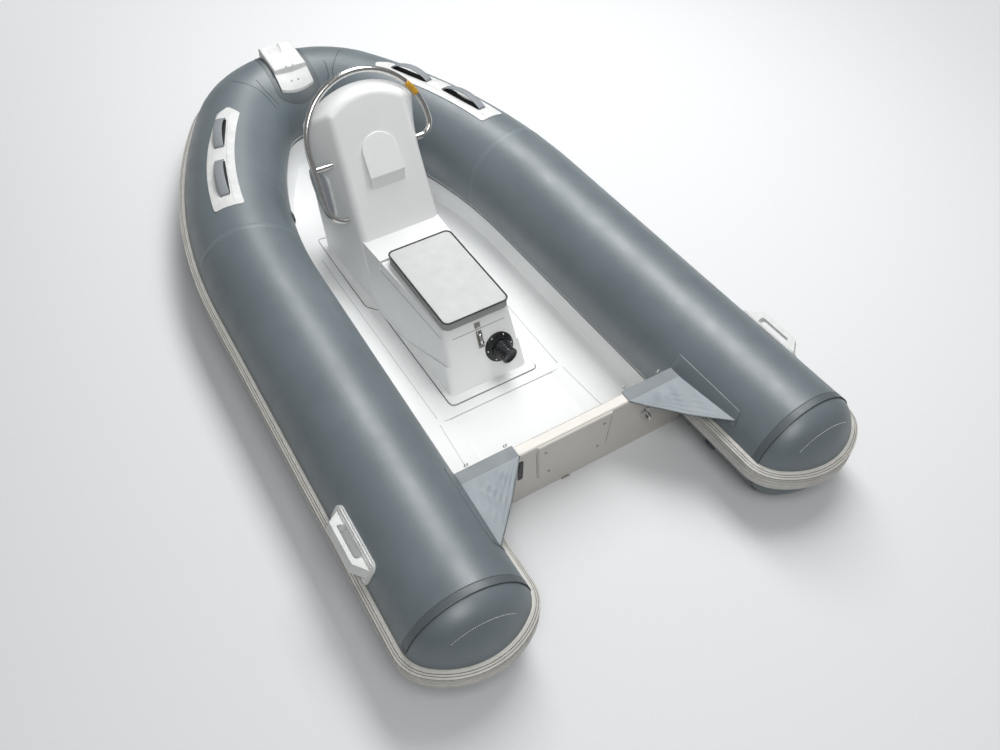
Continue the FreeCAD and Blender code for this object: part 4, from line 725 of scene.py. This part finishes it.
def grab_strap(side, first, last):
    points = []
    normals = []
    steps = 30
    for k in range(steps + 1):
        share = k / steps
        turn = PAD_START + (first + (last - first) * share) * (PAD_STOP - PAD_START)
        lift = PAD_SHEET + 0.0015 + STRAP_ARCH * math.sin(math.pi * share) ** 0.75
        point, normal = skin(turned(turn), STRAP_ANGLE, lift)
        points.append(sided(side, point))
        normals.append(sided(side, normal))
    half = STRAP_WIDTH / 2
    profile = [(-half, -0.001), (-half + 0.002, -0.0017), (half - 0.002, -0.0017), (half, -0.001)]
    profile += [(half, 0.001), (half - 0.002, 0.0017), (-half + 0.002, 0.0017), (-half, 0.001)]
    return sweep(points, normals, profile)


STRAPS = ((0.10, 0.44), (0.57, 0.87))
for name, side in SIDES:
    straps = [grab_strap(side, *ends) for ends in STRAPS]
    made = join_sweeps(f"straps_{name}", straps, "webbing")
    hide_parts(f"grab_straps_{name}")

# Painted shadow: a dark sheet on each pad under its arched strap
for name, side in SIDES:
    shadow_sheets = []
    for first, last in STRAPS:
        turns = [PAD_START + share * (PAD_STOP - PAD_START) for share in (first + 0.01, last - 0.01)]
        ends = ((turns[0], 77), (turns[1], 77), (turns[1], 87.4), (turns[0], 87.4))
        shadow_sheet = tube_patch([(turned(turn), degrees) for turn, degrees in ends], 0.0004, PAD_SHEET)
        shadow_sheets.append(([sided(side, corner) for corner in shadow_sheet[0]], shadow_sheet[1]))
    join_sweeps(f"strap_shadows_{name}", shadow_sheets, "shadow")


# Small parts laid on the CAD pieces, placed where a ray meets them
def skin_of(node):
    """Search tree over a CAD piece's triangles."""
    mesh = nodes[node].data
    place = nodes[node].matrix_world
    corners = [place @ vertex.co for vertex in mesh.vertices]
    return BVHTree.FromPolygons(corners, [tuple(polygon.vertices) for polygon in mesh.polygons])


def meet(tree, start, direction):
    """Where a ray meets a piece, and the surface's normal there, turned towards the ray."""
    point, normal, _, _ = tree.ray_cast(Vector(start), Vector(direction))
    if point is None:
        raise ValueError(f"nothing lies ahead of {start}")
    return point, normal if normal.dot(Vector(direction)) < 0 else -normal


def laid(tree, starts, direction, profile, closed=False):
    """A strip laid on a piece under a row of ray starts."""
    points = []
    normals = []
    for start in starts:
        point, normal = meet(tree, start, direction)
        points.append(point)
        normals.append(normal)
    return sweep(points, normals, profile, closed)


def between(first, last, steps):
    return [Vector(first).lerp(Vector(last), k / steps) for k in range(steps + 1)]


def turned_disc(point, normal, rings, count=24):
    """A round piece about a normal through (radius, height) rings, closed at both ends."""
    normal = Vector(normal).normalized()
    side = normal.orthogonal().normalized()
    other = normal.cross(side)
    corners = []
    for radius, height in rings:
        for k in range(count):
            angle = 2 * math.pi * k / count
            spoke = math.cos(angle) * side + math.sin(angle) * other
            corners.append(point + height * normal + radius * spoke)
    return corners, stack_faces(len(rings), count)


def screw_head(point, normal, radius):
    """A countersunk screw's head with its recess."""
    rings = (
        (radius, -0.0003),
        (radius, 0.0004),
        (radius * 0.86, 0.0010),
        (radius * 0.46, 0.0011),
        (radius * 0.36, 0.0003),
    )
    return turned_disc(point, normal, rings, 16)


# Screws of the motor pad and the chock
pad_skin = skin_of("motor_pad")
chock_skin = skin_of("bow_chock")
floor_skin = skin_of("deck_liner")
box_skin = skin_of("seat_box")
FORWARD = Vector((1, 0, 0))
PAD_SCREWS = ((0.118, 0.211), (-0.118, 0.211), (0.100, 0.099), (-0.100, 0.099))
heads = [screw_head(*meet(pad_skin, (-0.2, y, z), FORWARD), 0.0060) for y, z in PAD_SCREWS]
join_sweeps("pad_screws", heads, "dark_steel")
CHOCK_SCREWS = ((2.264, 0.016), (2.264, -0.016), (2.222, 0.016), (2.222, -0.016))
heads = [screw_head(*meet(chock_skin, (x, y, 1.0), -UP), 0.0050) for x, y in CHOCK_SCREWS]
join_sweeps("chock_screws", heads, "dark_steel")

# Cable boot: its wide soft flange, bellows and the screws in the flange
BOX_SLOPE = 0.424
BOOT_MOUTH = Vector((0.5191, -0.0754, 0.0790))
BOOT_FOOT = Vector((0.5784, -0.0660, 0.0790))
BOOT_SCREWS = 6
BOOT_SCREW_CIRCLE = 0.051
boot_axis = (BOOT_MOUTH - BOOT_FOOT).normalized()
box_lean = math.atan(BOX_SLOPE)
face_up = Vector((math.sin(box_lean), 0, math.cos(box_lean)))
face_out = Vector((-math.cos(box_lean), 0, math.sin(box_lean)))
flange_rings = ((0.0600, 0.0002), (0.0600, 0.0030), (0.0580, 0.0050), (0.0440, 0.0062), (0.0370, 0.0110))
flange = turned_disc(BOOT_FOOT, face_out, flange_rings, 48)
join_sweeps("boot_flange", [flange], "dark_plastic")
bellows = []
for k in range(5):
    radius = 0.0400 - 0.0022 * k
    start = 0.010 + 0.009 * k
    bellows += [(radius - 0.003, start), (radius, start + 0.002)]
    bellows += [(radius, start + 0.006), (radius - 0.003, start + 0.008)]
bellows += [(0.0310, 0.0570), (0.0330, 0.0590), (0.0330, 0.0650)]
bellows += [(0.0300, 0.0665), (0.0262, 0.0665), (0.0250, 0.0600)]
bellows_form = turned_disc(BOOT_FOOT, boot_axis, bellows, 40)
join_sweeps("boot_bellows", [bellows_form], "dark_plastic")
heads = []
for k in range(BOOT_SCREWS):
    angle = 2 * math.pi * (k + 0.5) / BOOT_SCREWS
    spoke = math.cos(angle) * face_up + math.sin(angle) * Vector((0, 1, 0))
    spot = BOOT_FOOT + BOOT_SCREW_CIRCLE * spoke
    heads.append(screw_head(spot + 0.0056 * face_out, face_out, 0.0034))
join_sweeps("boot_screws", heads, "stainless")

# Toggle latch: its lever, wire and rivets on the leaning aft face
BOX_FACE = 0.636
BOX_TOP = 0.215


def face_spot(side, height, lift):
    foot = Vector((BOX_FACE - BOX_SLOPE * (BOX_TOP - height), side, height))
    return foot + lift * face_out


def wire(points, radius, closed=False):
    return sweep(points, [face_out] * len(points), round_profile(radius, 8), closed)


LATCH_SIDE = 0.003
LEVER_BEND = ((0.160, 0.0085), (0.148, 0.0125), (0.134, 0.0130), (0.122, 0.0165))
lever = [face_spot(LATCH_SIDE, height, lift) for height, lift in LEVER_BEND]
lever_profile = [(-0.0065, -0.0012), (0.0065, -0.0012), (0.0065, 0.0012), (-0.0065, 0.0012)]
latch_parts = [sweep(lever, [face_out] * 4, lever_profile)]
bail = []
for k in range(16):
    angle = math.tau * k / 16
    across = LATCH_SIDE + 0.0085 * math.cos(angle)
    bail.append(face_spot(across, 0.1700 + 0.0200 * math.sin(angle), 0.0085))
latch_parts.append(wire(bail, 0.0013, True))
for side, height in ((-0.009, 0.158), (0.009, 0.158), (-0.009, 0.112), (0.009, 0.112)):
    rings = ((0.0024, -0.0002), (0.0024, 0.0006), (0.0012, 0.0014))
    latch_parts.append(turned_disc(face_spot(LATCH_SIDE + side, height, 0.0026), face_out, rings, 12))
join_sweeps("latch_lever", latch_parts, "stainless")

# Painted shadow line under the lid, and a grey line round the moulded base
lid_low, lid_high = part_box("seat_board")
line_height = lid_low.z - 0.0008
fine_line = strip_profile(0.0024, 0.0006, 0.0004)
PORTWARD = Vector((0, 1, 0))
# Painted shadow: grey strips along the gap under the lid on three sides
lid_lines = []
for side in (1, -1):
    front = (lid_high.x + 0.008, side * 0.4, line_height)
    back = (lid_low.x + 0.028, side * 0.4, line_height)
    lid_lines.append(laid(box_skin, between(front, back, 10), -side * PORTWARD, fine_line))
starts = between((0.3, 0.112, line_height), (0.3, -0.112, line_height), 8)
lid_lines.append(laid(box_skin, starts, FORWARD, fine_line))
join_sweeps("lid_line", lid_lines, "grey_line")


def rounded_loop(corners, radius, steps=5, spacing=0.04):
    """A closed outline with its corners rounded, and points along its straight runs."""
    points = []
    count = len(corners)
    for k in range(count):
        corner = Vector(corners[k])
        before = (Vector(corners[k - 1]) - corner).normalized()
        after = (Vector(corners[(k + 1) % count]) - corner).normalized()
        reach = radius / math.tan(before.angle(after) / 2)
        start = corner + reach * before
        stop = corner + reach * after
        for step in range(steps + 1):
            share = step / steps
            points.append(start.lerp(corner, share).lerp(corner.lerp(stop, share), share))
        follower = Vector(corners[(k + 1) % count])
        run = (follower - corner).length - 2 * reach
        for step in range(1, int(run / spacing)):
            points.append(stop + step * spacing * after)
    return points


FLANGE_AFT = 0.497
FLANGE_HALF = 0.189
FLANGE_JOG = (1.086, 1.134)
FLANGE_WIDE = 0.226
FLANGE_FRONT = 1.600
FLANGE_CORNER = 0.024
FLANGE_LINE_OUT = 0.0018
port_corners = (
    (FLANGE_AFT - FLANGE_LINE_OUT, FLANGE_HALF + FLANGE_LINE_OUT),
    (FLANGE_JOG[0], FLANGE_HALF + FLANGE_LINE_OUT),
    (FLANGE_JOG[1], FLANGE_WIDE + FLANGE_LINE_OUT),
    (FLANGE_FRONT + FLANGE_LINE_OUT, FLANGE_WIDE + FLANGE_LINE_OUT),
)
flange_corners = list(port_corners) + [(x, -y) for x, y in reversed(port_corners)]
loop = rounded_loop(flange_corners, FLANGE_CORNER)
# A grey line laid round the outside of the moulded base's flange
bead = laid(floor_skin, [(x, y, 0.12) for x, y in loop], -UP, strip_profile(0.0034, 0.0016, 0.0010), True)
piece("base_flange_line", bead[0], bead[1], "grey_line")

# Painted shade along the edges of the floor's raised panel and in the crease towards the transom
FLOOR_LINES = (
    ((1.470, 0.2665), (0.470, 0.2665)),
    ((0.4505, 0.250), (0.4505, -0.250)),
    ((0.470, -0.2665), (1.470, -0.2665)),
    ((0.440, -0.272), (0.055, -0.300)),
    ((0.440, 0.272), (0.055, 0.300)),
)
floor_lines = []
for (x, y), (end_x, end_y) in FLOOR_LINES:
    starts = between((x, y, 0.15), (end_x, end_y, 0.15), 20)
    floor_lines.append(laid(floor_skin, starts, -UP, strip_profile(0.0030, 0.0005, 0.0004)))
join_sweeps("floor_lines", floor_lines, "floor_shade_line")

# Painted shadow line round the motor pad
PAD_CORNERS = ((0.1415, 0.0818), (0.1535, 0.2562), (-0.1535, 0.2562), (-0.1415, 0.0818))
PAD_TOP = 0.2555
PAD_STEPS = 6
transom_skin = skin_of("transom")
starts = []
for (y, z), (end_y, end_z) in zip(PAD_CORNERS, PAD_CORNERS[1:] + PAD_CORNERS[:1]):
    starts += between((-0.3, y, z), (-0.3, end_y, end_z), PAD_STEPS)[:-1]
starts = [start for start in starts if start.z < PAD_TOP]
starts = starts[PAD_STEPS:] + starts[:PAD_STEPS + 1]
# Painted shadow: a grey strip along the pad's edges on the transom
edges = laid(transom_skin, starts, FORWARD, strip_profile(0.0026, 0.0006, 0.0004))
piece("pad_shadow_line", edges[0], edges[1], "grey_line")

# Amber tape on the rail
RAIL_PLANE = 1.265
RAIL_HALF = 0.257
RAIL_CENTRE = 0.378
TAPE_START = 141
TAPE_SWEEP = 14
rail_up = Vector((0.5, 0, 1)).normalized()


def rail_point(side, along):
    return Vector((RAIL_PLANE, side, AXIS_HEIGHT)) + along * rail_up


tape = []
for k in range(9):
    angle = math.radians(TAPE_START + TAPE_SWEEP * k / 8)
    tape.append(rail_point(RAIL_HALF * math.cos(angle), RAIL_CENTRE + RAIL_HALF * math.sin(angle)))
tape_normals = [(point - rail_point(0, RAIL_CENTRE)).normalized() for point in tape]
corners, faces = sweep(tape, tape_normals, round_profile(0.0131, 20))
piece("rail_tape", corners, faces, "amber_tape")

# Ridges along the carry handles' flanges
CARRY_LEAN = 27
for name, side in SIDES:
    ridges = []
    for degrees in (CARRY_LEAN + 9.6, CARRY_LEAN + 7.0, CARRY_LEAN - 9.8):
        path = [(straight(-0.146 + 0.232 * k / 12), degrees) for k in range(13)]
        ridges.append(along_tube(path, strip_profile(0.0048, 0.0026), side, 0.0052))
    join_sweeps(f"carry_ridges_{name}", ridges, "white_rubber")

# Ribs of the rub strake, drawn as painted shade in their grooves and on their slopes, and a painted
# highlight along the top edge
strake_skin = skin_of("rub_strake")


def strake_line(height, side, inset=0):
    """Points of a line on the strake, from the tail's inner side round its end to the bow."""
    rays = []
    for k in range(8):
        point, out, _ = straight(-0.04 - (TAIL_REACH - 0.04) * k / 8)
        rays.append((point, -out))
    point, out, along = straight(-TAIL_REACH)
    for k in range(33):
        angle = math.pi * (1 - k / 32)
        rays.append((point, math.cos(angle) * out - math.sin(angle) * along))
    for k in range(1, 20):
        place = straight(-TAIL_REACH + (STRAIGHT_REACH + TAIL_REACH) * k / 20)
        rays.append(place[:2])
    for k in range(17):
        place = turned(TAPER + (KNUCKLE - TAPER) * k / 16)
        rays.append(place[:2])
    for k in range(1, 17):
        place = turned(KNUCKLE + (math.pi / 2 - KNUCKLE) * k / 16)
        rays.append(place[:2])
    points = []
    normals = []
    for point, out in rays:
        start = sided(side, point + 0.45 * out + height * UP)
        spot, normal = meet(strake_skin, start, -sided(side, out))
        if inset:
            spot, normal = strake_skin.ray_cast(spot + 0.2 * UP - inset * sided(side, out), -UP)[:2]
        if spot is None or (inset and normal.z < 0.2):
            continue
        points.append(spot)
        normals.append(normal)
    return points, normals


for name, side in SIDES:
    for label, height, width, finish in (
        ("edge", 0.0455, 0.0022, "strake_edge"),
        ("groove", 0.0330, 0.0026, "strake_groove"),
        ("rib", 0.0210, 0.0026, "strake_groove"),
    ):
        points, normals = strake_line(height, side)
        corners, faces = sweep(points, normals, strip_profile(width, 0.0006, 0.0004))
        piece(f"strake_{label}_{name}", corners, faces, finish)
    for label, inset in (("slope_in", 0.0125), ("slope_out", 0.0060)):
        points, normals = strake_line(0.0330, side, inset)
        corners, faces = sweep(points, normals, strip_profile(0.0020, 0.0006, 0.0004))
        piece(f"strake_{label}_{name}", corners, faces, "strake_groove")

# Stitches on the end cones
STITCH_COUNT = 34
STITCH_START = 55
STITCH_SWEEP = 79
STITCH_CIRCLE = 0.16
for name, side in SIDES:
    cone_skin = skin_of(f"cone_{name}")
    middle = straight(-0.50)[0]
    stitches = []
    for k in range(STITCH_COUNT):
        starts = []
        for step in range(3):
            angle = math.radians(STITCH_START + STITCH_SWEEP * (k + 0.3 * step) / STITCH_COUNT)
            y = middle.y + STITCH_CIRCLE * math.cos(angle)
            starts.append((-1.0, side * y, middle.z + STITCH_CIRCLE * math.sin(angle)))
        stitches.append(laid(cone_skin, starts, FORWARD, strip_profile(0.0018, 0.0007, 0.0004)))
    join_sweeps(f"cone_stitches_{name}", stitches, "pale_line")

# Gussets' front strips on the transom in painted shade, the small eyes beside them and the line between
EYE_RADIUS = 0.0065
for name, side in SIDES:
    fold = []
    for x in (0.002, 0.046):
        tube_half = math.sqrt(TUBE_RADIUS**2 - (WEB_HEIGHT - AXIS_HEIGHT) ** 2)
        fold.append((x, straight(x)[0].y - tube_half - 0.002))
    strip = [(0.002, GUSSET_INNER + 0.003), *fold, (0.046, GUSSET_INNER + 0.003)]
    layers = [([(x, side * y) for x, y in strip], WEB_HEIGHT + lift) for lift in (0.0006, 0.0014)]
    corners, faces = ring_prism(layers)
    piece(f"gusset_shade_strip_{name}", corners, faces, "gusset_shade_cloth", smooth=False)
    eyes = []
    for x, y in ((0.056, GUSSET_INNER + 0.020), (0.056, GUSSET_INNER + 0.165)):
        centre = Vector((x, side * y, transom_high.z + 0.004))
        ring = [centre + Vector((0, y, z)) for y, z in round_profile(EYE_RADIUS, 20)]
        eyes.append(sweep(ring, [FORWARD] * 20, round_profile(0.0018, 8), True))
    join_sweeps(f"gusset_eyes_{name}", eyes, "stainless")
starts = between((0.0395, 0.145, 1.0), (0.0395, -0.145, 1.0), 8)
corners, faces = laid(transom_skin, starts, -UP, strip_profile(0.0018, 0.0005, 0.0004))
piece("transom_line", corners, faces, "grey_line")

# Seams of the bow cloth
bow_skin = skin_of("tube_bow")
BOW_SEAMS = (
    ((2.298, 0.260), (2.251, 0.222), (2.197, 0.176), (2.148, 0.153), (2.105, 0.134)),
    ((2.259, 0.164), (2.225, 0.158), (2.188, 0.149), (2.162, 0.132), (2.135, 0.117)),
)
for name, side in SIDES:
    seams = []
    for spots in BOW_SEAMS:
        starts = []
        for begin, end in zip(spots, spots[1:]):
            for k in range(4):
                share = k / 4
                x = begin[0] + (end[0] - begin[0]) * share
                y = begin[1] + (end[1] - begin[1]) * share
                starts.append((x, side * y, 1.0))
        seams.append(laid(bow_skin, starts, -UP, strip_profile(0.0022, 0.0008, 0.0004)))
    join_sweeps(f"bow_seam_{name}", seams, "dark_line")

# Stitched edges of the grab straps' pads, and the plate beside the port gusset
for name, side in SIDES:
    stitches = []
    for degrees in (74.5, 89.5):
        shares = [0.04 + 0.9 * k / 30 for k in range(31)]
        path = [(turned(PAD_START + share * (PAD_STOP - PAD_START)), degrees) for share in shares]
        stitches.append(along_tube(path, strip_profile(0.0016, 0.0006), side, PAD_SHEET))
    join_sweeps(f"pad_lines_{name}", stitches, "pale_line")
strip = rounded_rectangle(0.203, 0.221, 0.048, 0.004)
plate_top = [(x * 0.999, y * 0.97) for x, y in strip]
corners, faces = ring_prism([(strip, 0.0), (strip, 0.0022), (plate_top, 0.0030)])
corners = [Vector((-corner.z, corner.x, 0.1735 + corner.y)) for corner in corners]
piece("transom_plate", corners, faces, "dark_plastic")


# Floor at the still water, open where the boat displaces it
FLOOR_SHOWN = (0.76, 0.77, 0.78, 1)
FLOOR_LIT = (0.40, 0.41, 0.42, 1)
BACKGROUND = (0.80, 0.81, 0.82, 1)
FLOOR_REACH = 60.0
FLOOR_LAMPLIT = 2.5
FLOOR_FAR = 6.5


def floor_material():
    """Lit as a mid grey, seen as a pale one, and blended into the background far off."""
    made, tree, shader = new_material("floor", FLOOR_SHOWN[:3], 0.75)
    rays = tree.nodes.new("ShaderNodeLightPath")
    seen = combine(tree, "MAXIMUM", rays.outputs["Is Camera Ray"], rays.outputs["Is Glossy Ray"])
    through = combine(tree, "MAXIMUM", seen, rays.outputs["Is Transmission Ray"])
    mix = tree.nodes.new("ShaderNodeMix")
    mix.data_type = "RGBA"
    mix.inputs["A"].default_value = FLOOR_LIT
    mix.inputs["B"].default_value = FLOOR_SHOWN
    tree.links.new(through, mix.inputs["Factor"])
    tree.links.new(mix.outputs["Result"], shader.inputs["Base Color"])
    place = tree.nodes.new("ShaderNodeNewGeometry")
    reach = tree.nodes.new("ShaderNodeVectorMath")
    reach.operation = "LENGTH"
    tree.links.new(place.outputs["Position"], reach.inputs[0])
    far = tree.nodes.new("ShaderNodeMapRange")
    far.interpolation_type = "SMOOTHSTEP"
    far.inputs["From Min"].default_value = FLOOR_LAMPLIT
    far.inputs["From Max"].default_value = FLOOR_FAR
    tree.links.new(reach.outputs["Value"], far.inputs["Value"])
    distant = combine(tree, "MULTIPLY", far.outputs["Result"], rays.outputs["Is Camera Ray"])
    pale = tree.nodes.new("ShaderNodeEmission")
    pale.inputs["Color"].default_value = BACKGROUND
    blend = tree.nodes.new("ShaderNodeMixShader")
    tree.links.new(distant, blend.inputs["Fac"])
    tree.links.new(shader.outputs["BSDF"], blend.inputs[1])
    tree.links.new(pale.outputs["Emission"], blend.inputs[2])
    tree.links.new(blend.outputs["Shader"], tree.nodes["Material Output"].inputs["Surface"])
    return made


def lay_floor():
    quarters = ((-1, -1, 0), (1, -1, 0), (1, 1, 0), (-1, 1, 0))
    edge = [FLOOR_REACH * Vector(corner) for corner in quarters]
    transom_middle = (transom_low.x + transom_high.x) / 2
    port = [straight(transom_middle)[0]] + [place[0] for place in joint_places]
    opening = [Vector((point.x, point.y, 0)) for point in port]
    opening += [sided(-1, point) for point in reversed(opening[:side_count + 1])]
    faces = tessellate_polygon([edge, opening])
    mesh = bpy.data.meshes.new("floor")
    mesh.from_pydata([tuple(point) for point in edge + opening], [], [tuple(face) for face in faces])
    floor = bpy.data.objects.new("floor", mesh)
    bpy.context.scene.collection.objects.link(floor)
    mesh.materials.append(floor_material())


def area_light(name, place, target, size, power):
    data = bpy.data.lights.new(name, "AREA")
    data.shape = "RECTANGLE"
    data.size, data.size_y = size
    data.energy = power
    lamp = bpy.data.objects.new(name, data)
    lamp.location = place
    lamp.rotation_euler = (Vector(target) - Vector(place)).to_track_quat("-Z", "Y").to_euler()
    bpy.context.scene.collection.objects.link(lamp)


def set_world(strength):
    world = bpy.data.worlds.new("studio")
    bpy.context.scene.world = world
    world.use_nodes = True
    tree = world.node_tree
    light = tree.nodes["Background"]
    light.inputs["Color"].default_value = (1, 1, 1, 1)
    light.inputs["Strength"].default_value = strength
    seen = tree.nodes.new("ShaderNodeBackground")
    seen.inputs["Color"].default_value = BACKGROUND
    seen.inputs["Strength"].default_value = 1.0
    rays = tree.nodes.new("ShaderNodeLightPath")
    mix = tree.nodes.new("ShaderNodeMixShader")
    tree.links.new(rays.outputs["Is Camera Ray"], mix.inputs["Fac"])
    tree.links.new(light.outputs["Background"], mix.inputs[1])
    tree.links.new(seen.outputs["Background"], mix.inputs[2])
    tree.links.new(mix.outputs["Shader"], tree.nodes["World Output"].inputs["Surface"])


# The camera, fitted to the photograph
CAMERA_PLACE = Vector((-1.47182, 1.24575, 2.53128 + AXIS_HEIGHT))
CAMERA_HEADING = math.radians(-32.749)
CAMERA_PITCH = math.radians(48.968)
CAMERA_ROLL = math.radians(-1.293)
FOCAL_WIDTHS = 0.94945


def set_camera():
    forward = Vector((
        math.cos(CAMERA_HEADING) * math.cos(CAMERA_PITCH),
        math.sin(CAMERA_HEADING) * math.cos(CAMERA_PITCH),
        -math.sin(CAMERA_PITCH),
    ))
    right = Vector((math.sin(CAMERA_HEADING), -math.cos(CAMERA_HEADING), 0))
    down = forward.cross(right)
    level_right = math.cos(CAMERA_ROLL) * right + math.sin(CAMERA_ROLL) * down
    level_down = -math.sin(CAMERA_ROLL) * right + math.cos(CAMERA_ROLL) * down
    data = bpy.data.cameras.new("camera")
    data.sensor_fit = "HORIZONTAL"
    data.sensor_width = 36.0
    data.lens = 36.0 * FOCAL_WIDTHS
    camera = bpy.data.objects.new("camera", data)
    turn = Matrix((level_right, -level_down, -forward)).transposed()
    camera.matrix_world = Matrix.Translation(CAMERA_PLACE) @ turn.to_4x4()
    bpy.context.scene.collection.objects.link(camera)
    bpy.context.scene.camera = camera


lay_floor()
set_world(0.20)
area_light("key", (3.0, -1.7, 4.6), (3.0, -1.2, 0.0), (6.0, 1.9), 285)
area_light("fill", (-2.4, 1.3, 4.6), (0.9, 0.0, 0.2), (2.4, 2.4), 100)
set_camera()
bpy.context.scene.view_settings.view_transform = "Standard"
